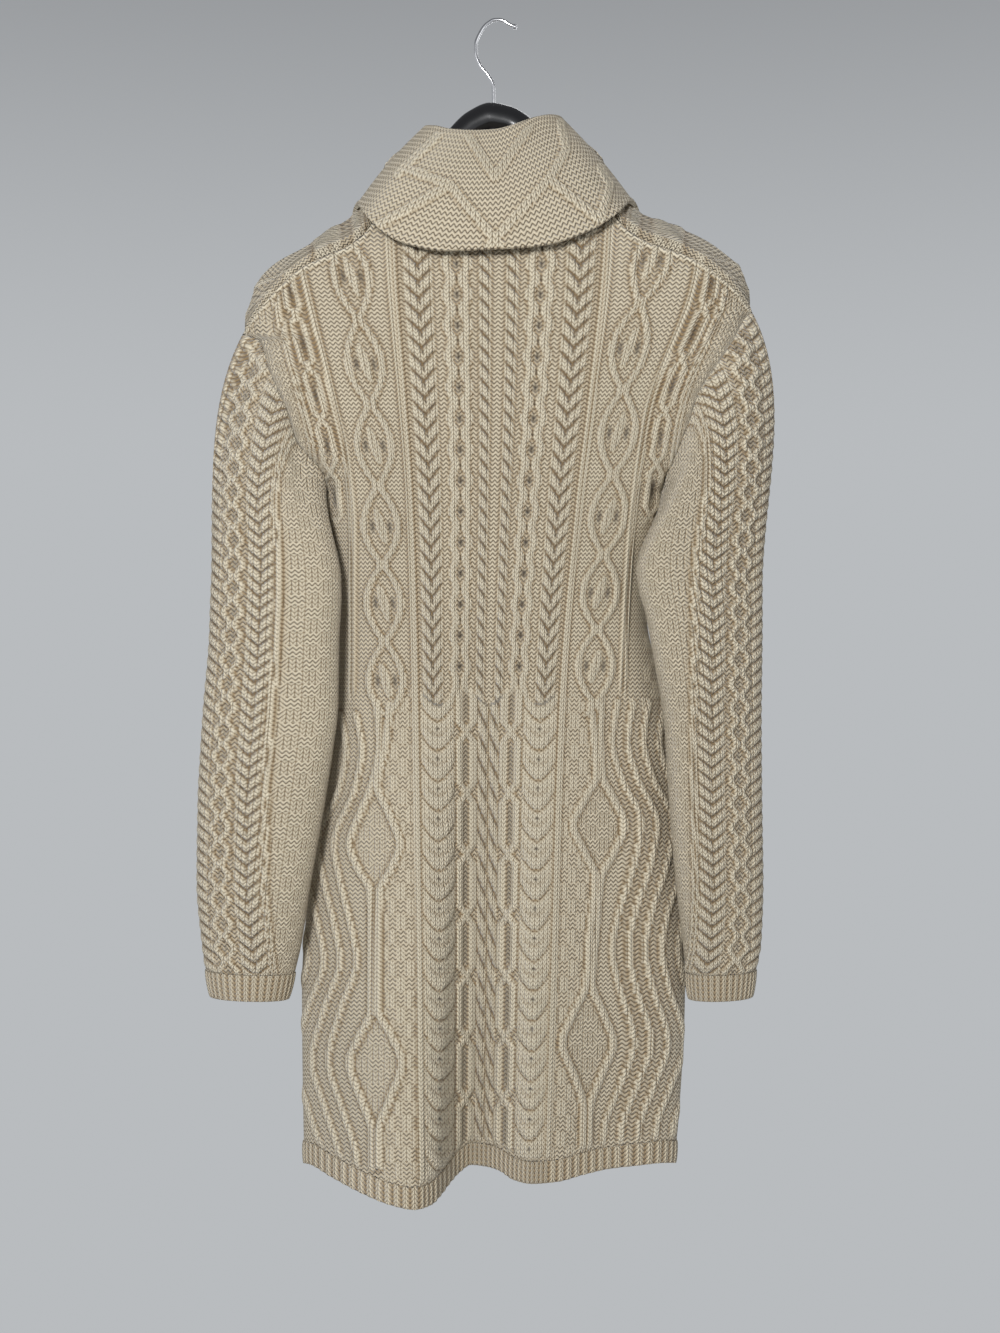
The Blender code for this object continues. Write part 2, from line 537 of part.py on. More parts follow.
def build_back():
    stops = [-1.0, *(stitch_at(BACK_TOP[k][0]) for k in SHOULDER_KNOTS[-1][1:]), 0.0,
             *(stitch_at(BACK_TOP[k][0]) for k in SHOULDER_KNOTS[1][:0:-1]), 1.0]
    columns = np.concatenate([np.linspace(a, b, max(1, round((b - a) / COLUMN_STEP)) + 1)[:-1]
                              for a, b in zip(stops, stops[1:])] + [[1.0]])
    t = np.concatenate([np.linspace(0, 1, BACK_TOP_ROWS + 1), np.linspace(1, 2, BACK_LOW_ROWS + 1)[1:]])
    q, rows = np.meshgrid(columns, t)
    base = back_base(q, rows)
    across = back_across(columns, back_start(columns))
    seams = {}
    for side in (-1, 1):
        places, points, shared = (v[::-side] for v in shoulder_seam(side))
        along = (across >= places[0] - 1e-6) & (across <= places[-1] + 1e-6)
        base[0, along] = on_chords(places, points, across[along])
        seams[side] = (along, on_chords(places, shared, across[along]))
    low = t[BACK_TOP_ROWS:]
    for i in (0, -1):
        side_line = base[BACK_TOP_ROWS:, i]
        base[BACK_TOP_ROWS:, i] = on_chords(low[::BACK_LOW_ROWS // FRONT_LOW_ROWS],
                                            side_line[::BACK_LOW_ROWS // FRONT_LOW_ROWS], low)
    normals = grid_normals(base, -1)
    normals[-1] = unit(normals[-1] * LEVEL)
    seen = HANG_DOWN - base[..., 2] / STEP
    relief = back_relief(q, seen)
    relief[0, :] = relief[:, 0] = relief[:, -1] = 0
    relief[-1, :] *= 0.5
    neck = (across > NECK_POINT[-1] + 1e-3) & (across < NECK_POINT[1] - 1e-3)
    normals[0, neck] = neck_normal(base[0, neck])
    top_line = base[0].copy()
    for i, side in ((0, -1), (-1, 1)):
        normals[0, seams[side][0]] = seams[side][1]
        normals[:BACK_TOP_ROWS + 1, i] = armhole(side)[1][:BACK_TOP_ROWS + 1]
        normals[BACK_TOP_ROWS + 1:, i] = (side, 0, 0)
    base = pull_back(base, ("top", "low", "first", "last"))
    outer = base + normals * (relief * CABLE)[..., None]
    inner = base - normals * WALL
    wall("back", outer, inner, [*picks(BACK_TOP_ROWS, 2), *range(BACK_TOP_ROWS + 6, len(t), 6)],
         picks(len(columns) - 1, 2, [int(np.argmin(abs(columns - k))) for k in stops]), WOOL)
    return columns, (across, top_line, normals[0])


def build_front(side):
    name = "front_left" if side < 0 else "front_right"
    p = np.concatenate([KNOT_SHARE, np.linspace(0.55, 1, 6)[1:]])
    t = np.concatenate([FRONT_SHARES, np.linspace(1, 2, FRONT_LOW_ROWS + 1)[1:]])
    across, rows = np.meshgrid(p, t)
    base = front_base(side, across, rows)
    normals = grid_normals(base, -side)
    normals[-1] = unit(normals[-1] * LEVEL)
    over = p < 0.5499
    normals[0, ~over] = neck_normal(base[0, ~over])
    normals[0, :len(KNOT_SHARE)] = shoulder_seam(side)[2]
    loop = armhole(side)[1]
    normals[:FRONT_TOP_ROWS + 1, 0] = np.concatenate([loop[:1], loop[:BACK_TOP_ROWS - 1:-1]])
    normals[FRONT_TOP_ROWS + 1:, 0] = (side, 0, 0)
    normals[1:, -1] = (0, 1, 0)
    normals[0, -1] = unit(np.array([0, 1, 0.25]))
    base = pull_back(base, ("top", "low", "first", "last"))
    line = bar(across, 0.30, 0.10) + bar(across, 0.62, 0.10)
    line[0, :] = 0
    outer = base + normals * (line * CABLE * 0.6)[..., None]
    inner = base - normals * WALL
    wall(name, outer[:, ::-side], inner[:, ::-side], picks(len(t) - 1, 2), picks(len(p) - 1, 1), WOOL)


def rib_columns(start, end, ribs):
    """Column places and heights for this many ribs, two columns to a rib."""
    return np.linspace(start, end, 2 * ribs + 1), (np.arange(2 * ribs + 1) % 2).astype(float)


def build_hems(back_columns):
    columns, high = rib_columns(-1, 1, 62)
    q, t = np.meshgrid(columns, [2.0, 2.35, 3.0])
    base = back_base(q, t)
    normals = unit(grid_normals(base, -1) * LEVEL)
    normals[:, 0], normals[:, -1] = (-1, 0, 0), (1, 0, 0)
    base[0] = on_chords(back_columns, back_base(back_columns, np.full(back_columns.shape, 2.0)), columns)
    for edges in (("top", "first", "last"), ("top",), ("top",), ("top",)):
        base = pull_back(base, edges)
    outer = base + normals * (high * RIB_HIGH)[None, :, None]
    wall("hem_back", outer, base - normals * WALL, [0, 2], picks(len(columns) - 1, 4), RIBBED)
    for side in (-1, 1):
        columns, high = rib_columns(0, 1, 26)
        p, t = np.meshgrid(columns, [2.0, 3.0])
        base = front_base(side, p, t)
        normals = unit(grid_normals(base, -side) * LEVEL)
        normals[:, 0], normals[:, -1] = (side, 0, 0), (0, 1, 0)
        base = pull_back(base, ("top", "first", "last"))
        outer = base + normals * (high * RIB_HIGH)[None, :, None]
        name = "hem_front_left" if side < 0 else "hem_front_right"
        wall(name, outer, base - normals * WALL, [0, 1], picks(len(columns) - 1, 4), RIBBED)


def sleeve_ring(side, angle, down):
    """A sleeve's section: angle 0 at the outer edge, pi at the inner edge, passing the back between."""
    outer, inner, middle_depth, half_depth, lean = (track(down) for track in SLEEVE[side])
    e = -np.cos(angle)
    s = np.sin(angle)
    across = (outer + inner) / 2 + (inner - outer) / 2 * e
    depth = middle_depth - lean * e - half_depth * np.sign(s) * np.abs(s) ** 0.85
    return spot(across, down, depth, middle_depth)


def sleeve_base(side, angle, t, start):
    """The sleeve: t 0 at the armhole, 1 where it hangs free, 2 at the cuff, 3 at the cuff's end."""
    free = sleeve_ring(side, angle, np.full(np.shape(angle), SLEEVE_FREE))
    if t >= 2:
        down = CUFF_TOP + (CUFF_END - CUFF_TOP) * (t - 2)
        return sleeve_ring(side, angle, np.full(np.shape(angle), down))
    if t >= 1:
        down = SLEEVE_FREE + (CUFF_TOP - SLEEVE_FREE) * (t - 1)
        return sleeve_ring(side, angle, np.full(np.shape(angle), down))
    long = np.linalg.norm(free - start, axis=-1, keepdims=True)
    e = -np.cos(angle)[:, None]
    s = np.sin(angle)[:, None]
    leave = np.concatenate([side * (0.30 - 0.24 * e), -0.30 * s - 0.16 * (1 + e), -1.0 + 0 * s], axis=1)
    leave = unit(leave) * long
    arrive = unit(sleeve_ring(side, angle, np.full(np.shape(angle), SLEEVE_FREE + 20)) - free) * long
    return (start * (2 * t**3 - 3 * t**2 + 1) + leave * (t**3 - 2 * t**2 + t)
            + free * (3 * t**2 - 2 * t**3) + arrive * (t**3 - t**2))


def sleeve_angles():
    back = np.linspace(0, math.pi, BACK_TOP_ROWS + 1)
    front = 2 * math.pi - math.pi * np.array(FRONT_SHARES[-2:0:-1])
    return np.concatenate([back, front])


def build_sleeve(side):
    angle = sleeve_angles()
    start, start_normal = armhole(side)
    t = np.concatenate([np.linspace(0, 1, SLEEVE_RINGS_TOP + 1),
                        np.linspace(1, 2, SLEEVE_RINGS_LOW + 1)[1:]])
    base = np.stack([sleeve_base(side, angle, value, start) for value in t])
    along = np.gradient(base, axis=0)
    around = (np.roll(base, -1, axis=1) - np.roll(base, 1, axis=1)) / 2
    normals = -side * unit(np.cross(along, around))
    normals[-1] = unit(normals[-1] * LEVEL)
    normals[0] = start_normal
    base = pull_back(base, ("top", "low"))
    across = np.where(angle <= math.pi, 0.5 + 0.5 * -np.cos(angle), 0.0)[None, :]
    down = (HANG_DOWN - base[..., 2] / STEP)
    wave = 0.09 * np.cos(math.pi * down / 12)
    relief = np.maximum.reduce([bar(across, 0.22 + wave, 0.10), bar(across, 0.22 - wave, 0.10),
                                bar(across, 0.40, 0.08) + 0 * down, bar(across, 0.48, 0.08) + 0 * down])
    relief[0] = 0
    outer = base + normals * (relief * CABLE)[..., None]
    name = "left" if side < 0 else "right"
    wall("sleeve_" + name, outer, base - normals * WALL, picks(len(t) - 1, 2),
         list(range(0, len(angle), 2)), WOOL, closed=True)
    ribs = 34
    turn = np.linspace(0, 2 * math.pi, 2 * ribs + 1)[:-1]
    high = (np.arange(2 * ribs) % 2).astype(float)
    cuff = np.stack([sleeve_base(side, turn, value, None) for value in (2.0, 3.0)])
    around = np.roll(cuff, -1, axis=1) - np.roll(cuff, 1, axis=1)
    normals = unit(np.cross(np.gradient(cuff, axis=0), around) * -side * LEVEL)
    cuff = pull_back(cuff, ("top",))
    outer = cuff + normals * (high * RIB_HIGH)[None, :, None]
    wall("cuff_" + name, outer, cuff - normals * WALL, [0, 1], list(range(0, 2 * ribs, 4)), RIBBED,
         closed=True)


def build_collar(top_across, top_points, top_normals):
    stations = np.arange(len(COLLAR), dtype=float)
    table = np.array([[v for point in row for v in point] for row in COLLAR])
    curves = [smooth_track(stations, table[:, c]) for c in range(9)]
    where = np.linspace(0, len(COLLAR) - 1, COLLAR_STATIONS + 1)
    seam, fold, edge = (spot(curves[3 * k](where), curves[3 * k + 1](where), curves[3 * k + 2](where))
                        for k in range(3))
    behind = (where >= 5) & (where <= 13)
    seam[behind] = on_chords(top_across, top_points, curves[0](where[behind]))
    up = unit(fold - seam)
    out = (edge - fold) - np.sum((edge - fold) * up, axis=1, keepdims=True) * up
    out = unit(out)
    top = fold - up * WALL
    shape = []
    for s in (0.0, 0.35, 0.7):
        shape.append(seam + (top - out * FOLD_RADIUS - up * FOLD_RADIUS - seam) * s)
    shape.append(top - out * FOLD_RADIUS - up * FOLD_RADIUS)
    shape.append(top)
    low_edge = edge - out * WALL
    fall = top + out * FOLD_RADIUS - up * FOLD_RADIUS
    for s in (0.0, 0.2, 0.4, 0.6, 0.8, 1.0):
        bulge = 0.003 * math.sin(math.pi * s)
        shape.append(fall + (low_edge - fall) * s + out * bulge)
    hidden = np.stack(shape)
    run = unit(np.gradient(hidden, axis=0))
    face = unit(np.sum(run * out, axis=2, keepdims=True) * up - np.sum(run * up, axis=2, keepdims=True) * out)
    face[0] = -neck_normal(seam)
    face[0, behind] = -unit(on_chords(top_across, top_normals, curves[0](where[behind])))
    for _ in range(4):
        hidden = pull_back(hidden, ("top",))
    n = hidden.shape[0]
    down = np.linspace(-4, 1, n)[:, None].clip(0, 1)
    around = (where - 9)[None, :]
    cross = np.abs(((around * 0.62 + down * 1.0) % 1) - 0.5) * 2
    other = np.abs(((around * 0.62 - down * 1.0) % 1) - 0.5) * 2
    relief = np.maximum(bar(cross, 0, 0.7), bar(other, 0, 0.7)) * (down > 0)
    shown = hidden + face * (WALL + relief * CABLE)[..., None]
    wall("collar", shown, hidden, list(range(n)), picks(COLLAR_STATIONS, 2), WOOL)


def build_bands():
    for side, name in ((-1, "band_left"), (1, "band_right")):
        columns, high = rib_columns(0, 1, 5)
        rows = np.linspace(0, 1, 15)
        w, s = np.meshgrid(columns, rows)
        left, right = FRONT_INNER[-1] + 0.4, FRONT_INNER[1] - 0.4
        across = left + (right - left) * w
        down = 350 + (FRONT_HEM - 350) * s
        depth = MID_FRONT(down) + (BAND_STEP if side > 0 else 0.0)
        base = spot(across, down, depth, np.zeros(w.shape))
        normals = np.broadcast_to(np.array([0, 1.0, 0]), base.shape)
        outer = base + normals * (high * 0.0010)[None, :, None]
        wall(name, outer, base - normals * WALL, picks(14, 2), picks(len(columns) - 1, 5), RIBBED)


def disc(name, centre, radius, thick, look, sides=12):
    """A round button lying across Y, dished on its face."""
    x, y, z = centre
    profile = ((radius * 0.9, 0.0), (radius, thick * 0.35),
               (radius * 0.82, thick), (radius * 0.6, thick * 0.72))
    vertices = [(x, y, z)]
    for r, high in profile:
        for k in range(sides):
            a = 2 * math.pi * k / sides
            vertices.append((x + r * math.cos(a), y + high, z + r * math.sin(a)))
    vertices.append((x, y + thick * 0.72, z))
    faces = []
    for k in range(sides):
        a, b = 1 + k, 1 + (k + 1) % sides
        faces.append((0, b, a))
        for ring in range(3):
            c, d = a + ring * sides, b + ring * sides
            faces += [(c, d, d + sides), (c, d + sides, c + sides)]
        faces.append((a + 3 * sides, b + 3 * sides, len(vertices) - 1))
    vertices = np.array(vertices)
    return make_object(name, vertices, outward(vertices, faces), look)


def swept(name, line, half_a, half_b, sides, look, side_axis):
    """A rod along a line, its section an oval: half_a along the side axis, half_b across it."""
    run = unit(np.gradient(line, axis=0))
    flat = np.broadcast_to(np.array(side_axis, float), line.shape)
    flat = unit(flat - np.sum(flat * run, axis=1, keepdims=True) * run)
    up = np.cross(run, flat)
    vertices = [line[0]]
    for k in range(len(line)):
        for s in range(sides):
            a = 2 * math.pi * s / sides
            vertices.append(line[k] + flat[k] * half_a[k] * math.cos(a) + up[k] * half_b[k] * math.sin(a))
    vertices.append(line[-1])
    faces = []
    for s in range(sides):
        a, b = 1 + s, 1 + (s + 1) % sides
        faces.append((0, b, a))
        for k in range(len(line) - 1):
            c, d = a + k * sides, b + k * sides
            faces += [(c, d, d + sides), (c, d + sides, c + sides)]
        last = (len(line) - 1) * sides
        faces.append((a + last, b + last, len(vertices) - 1))
    vertices = np.array(vertices)
    return make_object(name, vertices, outward(vertices, faces), look)


def build_hanger():
    table = np.array(HANGER_ARCH)
    at = np.linspace(0, len(table) - 1, 27)
    index = np.arange(len(table), dtype=float)
    across, down, thick, high = (smooth_track(index, table[:, c])(at) for c in range(4))
    line = spot(across, down, np.zeros(len(at)))
    run = unit(np.gradient(line, axis=0))
    below = np.stack([run[:, 2], 0 * run[:, 0], -run[:, 0]], axis=1)
    below = below * np.sign(-below[:, 2:3])
    centre = line + below * high[:, None]
    swept("hanger_arch", centre, thick, high, 10, BLACK, (0, 1, 0))
    wire = np.array([spot(a, d, 0) for a, d in HOOK_WIRE])
    at = np.linspace(0, len(wire) - 1, 26)
    index = np.arange(len(wire), dtype=float)
    line = np.stack([smooth_track(index, wire[:, c])(at) for c in range(3)], axis=1)
    size = np.full(len(line), WIRE_RADIUS)
    size[-3:] = (0.0019, 0.0023, 0.0014)
    swept("hanger_hook", line, size, size, 8, STEEL, (0, 1, 0))


def build_buttons():
    for k in range(7):
        down = 372.0 + k * 126.0
        rows = np.linspace(down - 11, down + 11, 9)
        seat = float(np.max(MID_FRONT(rows))) + BAND_STEP + 0.0010 + 2 * HALF_GAP
        x, _, z = spot(493, down, seat, 0.0)
        disc(f"button_{k + 1}", (x, seat, z), BUTTON_RADIUS, BUTTON_THICK, HORN)


edge_columns, top_edge = build_back()
for which in (-1, 1):
    build_front(which)
    build_sleeve(which)
build_hems(edge_columns)
build_collar(*top_edge)
build_bands()
build_buttons()
build_hanger()
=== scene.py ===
"""Dresses the aran cardigan: knitted panels with their cables, ribs, collar, buttons and hanger.

It also sets up a plain studio.

Lengths are metres, the back faces -Y, and the origin is the point where the hook hangs.
Outlines and stitch charts are held in table steps, across and down, as they look from behind the back.
"""

import math

import bpy
import numpy as np
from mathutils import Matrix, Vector


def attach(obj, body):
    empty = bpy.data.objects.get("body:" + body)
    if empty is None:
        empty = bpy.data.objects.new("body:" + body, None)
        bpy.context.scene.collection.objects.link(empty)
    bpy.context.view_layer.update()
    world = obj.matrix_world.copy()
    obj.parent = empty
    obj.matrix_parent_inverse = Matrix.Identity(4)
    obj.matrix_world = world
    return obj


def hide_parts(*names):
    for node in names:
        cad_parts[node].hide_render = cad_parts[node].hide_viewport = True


bl_info = {
    "name": "Aran Cardigan Dresser",
    "version": (1, 0, 0),
    "blender": (4, 5, 0),
    "location": "View3D > Sidebar > Cardigan",
    "description": "Knits the panels of an aran cardigan over its solids and sets up a plain studio",
    "category": "Object",
}

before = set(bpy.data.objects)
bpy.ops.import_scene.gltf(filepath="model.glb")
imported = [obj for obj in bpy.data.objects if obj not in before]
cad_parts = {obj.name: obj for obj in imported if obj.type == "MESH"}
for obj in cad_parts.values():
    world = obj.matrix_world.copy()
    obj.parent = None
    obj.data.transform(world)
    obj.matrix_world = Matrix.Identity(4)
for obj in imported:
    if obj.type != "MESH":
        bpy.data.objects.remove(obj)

STEP = 0.00085  # one step of the outline tables
HANG_ACROSS, HANG_DOWN = 493.0, 22.0  # the hanging point, in steps
EYE_X, EYE_Y, EYE_Z = 0.006, -1.5, -0.548  # the place the outlines are seen from
WALL = 0.0032  # knitted wall without its cables
RIB_HIGH = 0.0014  # how far a rib stands out
LEVEL = np.array([1.0, 1.0, 0.0])  # keeps a direction level
WIRE_RADIUS = 0.0015
BAND_STEP = 0.0050  # the over band stands this far out of the under band
BUTTON_COUNT = 7
BUTTON_FIRST, BUTTON_EVERY = 372.0, 126.0  # down to the first button and between buttons, in steps
BUTTON_RADIUS, BUTTON_THICK = 0.0090, 0.0040
BUTTON_HOLES, HOLE_RADIUS, HOLE_FROM_MIDDLE = 4, 0.0008, 0.0022
BALL_RADIUS = 0.0023  # the ball on the end of the hook's wire
ARCH_HIGH = 0.012  # half height of the hanger's section where it is thickest
ARCH_THICK = 0.0082  # half thickness there
RIB_RISE = 1.15  # share of RIB_HIGH to which the finished ribs stand out

# down, across, back depth, front depth: armhole edge, then side edge
LEFT_EDGE = (
    (334, 243, -0.012, -0.012), (341, 259, -0.024, 0.006), (367, 268, -0.040, 0.026),
    (410, 287, -0.050, 0.038), (443, 298, -0.053, 0.036), (469, 320, -0.048, 0.024),
    (482, 327, -0.038, 0.004), (494, 327, -0.020, -0.020), (520, 327, -0.0183, -0.0183),
    (560, 332, -0.0157, -0.0157), (640, 336, -0.0105, -0.0105), (700, 333, -0.0065, -0.0065),
    (800, 321, 0.000, 0.000), (884, 309, 0.000, 0.000), (990, 302, 0.000, 0.000),
    (1149, 304, 0.000, 0.000), (1210, 306, 0.000, 0.000),
)
RIGHT_EDGE = (
    (312, 752, -0.012, -0.012), (320, 744, -0.024, 0.006), (339, 734, -0.038, 0.024),
    (362, 719, -0.046, 0.034), (390, 700, -0.050, 0.038), (427, 687, -0.053, 0.036),
    (456, 675, -0.051, 0.028), (478, 665, -0.040, 0.006), (494, 659, -0.020, -0.020),
    (520, 658, -0.0183, -0.0183), (560, 650, -0.0157, -0.0157), (618, 647, -0.0119, -0.0119),
    (673, 658, -0.0083, -0.0083), (718, 666, -0.0054, -0.0054), (802, 675, 0.000, 0.000),
    (884, 682, 0.000, 0.000), (990, 685, 0.000, 0.000), (1115, 679, 0.000, 0.000),
    (1149, 676, 0.000, 0.000), (1210, 673, 0.000, 0.000),
)
UNDERARM = 494.0

# across, down, depth: shoulder seam, neck, shoulder seam
BACK_TOP = (
    (243, 334, -0.012), (262, 306, -0.024), (300, 269, -0.031),
    (360, 238, -0.034), (374, 221, -0.0265), (386, 204, -0.0145), (398, 186, 0.000),
    (412, 192, -0.020), (430, 199, -0.031), (460, 203, -0.036), (494, 205, -0.037),
    (528, 203, -0.036), (560, 198, -0.031), (576, 191, -0.020), (588, 184, 0.000),
    (601, 201, -0.0145), (616, 218, -0.0265), (631, 233, -0.034), (700, 262, -0.032),
    (733, 288, -0.025), (752, 312, -0.012),
)
SHOULDER_KNOTS = {-1: (0, 1, 2, 3, 4, 5, 6), 1: (20, 19, 18, 17, 16, 15, 14)}  # rows of the table above
KNOT_SHARE = (0.0, 0.09, 0.20, 0.34, 0.42, 0.49, 0.55)  # where they lie across a front
# across, down: the top line of each shoulder
LEFT_RIDGE = ((243, 334), (250, 305), (262, 277), (310, 245), (358, 214), (398, 186))
RIGHT_RIDGE = ((588, 184), (631, 210), (665, 224), (700, 238), (725, 255), (742, 273), (748, 292), (752, 312))
# across, down, depth: the neck edge of each front, from the shoulder to the band
LEFT_NECK = (
    (398, 186, 0.000), (404, 198, 0.022), (420, 228, 0.036),
    (440, 268, 0.044), (462, 315, 0.050), (478, 350, 0.053),
)
RIGHT_NECK = (
    (588, 184, 0.000), (582, 196, 0.022), (566, 228, 0.036),
    (546, 268, 0.044), (524, 315, 0.050), (508, 350, 0.053),
)
FRONT_INNER = {-1: 478.0, 1: 508.0}

# down, middle stitch, half spacing of the inner twisted lines, back and front depth
MIDDLE = (
    (180, 500, 110, -0.036, 0.030), (270, 499, 106, -0.048, 0.042), (400, 497, 94, -0.054, 0.048),
    (498, 494.5, 84.5, -0.057, 0.050), (700, 489, 72.5, -0.059, 0.052),
    (960, 486.5, 66.5, -0.060, 0.053), (1160, 484, 63, -0.050, 0.052), (1220, 483.5, 62, -0.050, 0.052),
)
# down, left, right: the outer twisted lines
OUTER_LINE = (
    (240, 297, 700), (281, 306.5, 693), (410, 338, 646.5), (448, 346.7, 640), (532, 354.8, 629),
    (662, 354.8, 621.5), (802, 349.4, 618), (1000, 346, 618), (1160, 344, 616), (1220, 344, 616),
)
# across from the deep fold, depth added at the hem
HEM_FOLDS = (
    (-190, 0.0), (-165, 0.0), (-140, -0.013), (-114, -0.034), (-80, -0.053), (-59, -0.056),
    (-38, -0.040), (-25, 0.000), (-16, 0.018), (0, 0.028), (15, 0.024), (27, 0.010),
    (41, -0.010), (59, -0.023), (85, -0.020), (110, -0.010), (136, -0.003), (170, 0.0), (230, 0.0),
)
# down, where the deep fold lies, how open the folds are
FOLD_LINE = ((600, 490, 0.0), (700, 487, 0.08), (800, 483, 0.26), (960, 478, 0.52), (1080, 475, 0.78),
             (1165, 472, 1.0), (1220, 471, 1.0))
# across, down: the bottom edge of the back
HEM_LINE = (
    (300, 1163), (306, 1163.5), (333, 1178), (359, 1192), (393, 1206), (414, 1210), (431, 1205),
    (441, 1195), (450, 1183), (460, 1172), (471, 1165), (488, 1167), (500, 1171), (514, 1180), (532, 1184),
    (557, 1182), (583, 1175), (609, 1169), (635, 1166), (666, 1163), (690, 1163),
)
HEM_HIGH = 22.0  # steps
FRONT_HEM = 1163.0

# down, outer edge, inner edge, depth of the middle, half depth, lean towards the back
LEFT_SLEEVE = (
    (334, 243, 262, -0.012, 0.020, 0.000), (390, 232, 280, -0.014, 0.034, 0.004),
    (451, 226, 312, -0.020, 0.036, 0.010), (543, 214, 338, -0.031, 0.032, 0.020),
    (597, 211, 341.7, -0.034, 0.030, 0.024), (640, 209.5, 339.6, -0.033, 0.030, 0.024),
    (705, 204, 338.5, -0.030, 0.030, 0.022), (751, 201, 333, -0.030, 0.030, 0.021),
    (802, 198.4, 325, -0.029, 0.030, 0.019), (884, 197.3, 310.6, -0.028, 0.028, 0.016),
    (945, 202.4, 301, -0.024, 0.025, 0.010), (971, 206, 295, -0.022, 0.023, 0.006),
    (1000, 211, 288, -0.021, 0.022, 0.004),
)
RIGHT_SLEEVE = (
    (312, 752, 744, -0.012, 0.020, 0.000), (371, 757.5, 706, -0.014, 0.034, 0.004),
    (451, 759, 674, -0.020, 0.036, 0.010), (543, 761, 641, -0.032, 0.032, 0.021),
    (582, 762, 637.5, -0.035, 0.030, 0.026), (618, 762, 646, -0.034, 0.030, 0.025),
    (673, 761.5, 656, -0.031, 0.030, 0.022), (718, 761, 663.5, -0.028, 0.030, 0.018),
    (802, 761.6, 669, -0.027, 0.030, 0.015), (884, 762.7, 676, -0.026, 0.028, 0.012),
    (945, 760.6, 683, -0.024, 0.025, 0.008), (971, 756, 686, -0.022, 0.023, 0.005),
    (1000, 752, 689, -0.021, 0.022, 0.004),
)
SLEEVE_FREE = 585.0  # down to here the sleeve still follows the armhole
CUFF_TOP, CUFF_END = 971.0, 997.0

# seam (across, down, depth), fold, free edge: the collar from its left end round to its right end
COLLAR = (
    ((478, 350, 0.053), (481, 336, 0.066), (450, 352, 0.069)),
    ((462, 315, 0.050), (468, 297, 0.064), (422, 322, 0.070)),
    ((440, 268, 0.044), (452, 240, 0.056), (386, 280, 0.067)),
    ((420, 228, 0.036), (440, 188, 0.046), (362, 246, 0.062)),
    ((404, 198, 0.022), (432, 146, 0.026), (352, 218, 0.040)),
    ((398, 186, 0.000), (430, 126, 0.000), (357, 205, 0.002)),
    ((412, 192, -0.020), (437, 126, -0.024), (366, 217, -0.038)),
    ((430, 199, -0.031), (452, 129, -0.037), (395, 240, -0.053)),
    ((460, 203, -0.036), (474, 130, -0.043), (444, 251, -0.062)),
    ((494, 205, -0.037), (495, 129, -0.045), (493, 249.5, -0.064)),
    ((528, 203, -0.036), (517, 123, -0.043), (541, 246, -0.062)),
    ((560, 198, -0.031), (535, 117, -0.037), (590, 231, -0.053)),
    ((576, 191, -0.020), (548, 115, -0.024), (618, 214, -0.038)),
    ((588, 184, 0.000), (556, 117, 0.000), (632, 202, 0.002)),
    ((582, 196, 0.022), (556, 142, 0.026), (640, 216, 0.040)),
    ((566, 228, 0.036), (548, 188, 0.046), (626, 246, 0.062)),
    ((546, 268, 0.044), (535, 240, 0.056), (602, 280, 0.067)),
    ((524, 315, 0.050), (518, 297, 0.064), (564, 322, 0.070)),
    ((508, 350, 0.053), (505, 336, 0.066), (536, 352, 0.069)),
)
FOLD_RADIUS = 0.0016  # the hollow inside the collar's fold

# across, down, half thickness, half height: the hanger's top line
HANGER_ARCH = (
    (268, 290, 0.0040, 0.0060), (272, 285, 0.0055, 0.0080), (300, 265, 0.0062, 0.0090),
    (358, 226, 0.0068, 0.0098), (398, 197, 0.0070, 0.0100), (430, 157, 0.0074, 0.0105),
    (448, 131, 0.0076, 0.0110), (468, 112, 0.0080, 0.0115), (490, 103, 0.0085, 0.0120),
    (511, 107, 0.0080, 0.0115), (530, 118, 0.0076, 0.0110), (560, 155, 0.0074, 0.0105),
    (588, 196, 0.0070, 0.0100), (631, 222, 0.0068, 0.0098), (700, 252, 0.0062, 0.0090),
    (726, 276, 0.0055, 0.0080), (731, 283, 0.0040, 0.0060),
)
# across, down: the wire of the hook
HOOK_WIRE = (
    (493.7, 103.6), (493.5, 92), (493.3, 85.7), (488.4, 75.9), (480.4, 66), (475.9, 53.6), (475.9, 44.6),
    (480.4, 33), (484.4, 26.8), (489.3, 22.6), (494, 20.2), (499, 20.0), (504.5, 21.6), (509, 24.4),
    (514.5, 27),
)


def smooth_track(keys, values):
    """A curve through the points of a table that never swings past them."""
    x, y = np.asarray(keys, float), np.asarray(values, float)
    h = np.diff(x)
    slope = np.diff(y) / h
    lean = np.concatenate([slope[:1], np.zeros(len(x) - 2), slope[-1:]])
    for k in range(1, len(x) - 1):
        if slope[k - 1] * slope[k] > 0:
            a, b = 2 * h[k] + h[k - 1], h[k] + 2 * h[k - 1]
            lean[k] = (a + b) / (a / slope[k - 1] + b / slope[k])

    def at(q):
        q = np.clip(np.asarray(q, float), x[0], x[-1])
        k = np.clip(np.searchsorted(x, q, side="right") - 1, 0, len(h) - 1)
        t = (q - x[k]) / h[k]
        return (y[k] * (2 * t**3 - 3 * t**2 + 1) + lean[k] * h[k] * (t**3 - 2 * t**2 + t)
                + y[k + 1] * (3 * t**2 - 2 * t**3) + lean[k + 1] * h[k] * (t**3 - t**2))

    return at


def tracks(table):
    """One curve per column of a table, keyed on its first column."""
    rows = sorted(table)
    keys = [r[0] for r in rows]
    return [smooth_track(keys, [r[c] for r in rows]) for c in range(1, len(rows[0]))]


def ease(low, high, value):
    t = np.clip((np.asarray(value, float) - low) / (high - low), 0, 1)
    return t * t * (3 - 2 * t)


def unit(v):
    return v / np.maximum(np.linalg.norm(v, axis=-1, keepdims=True), 1e-12)


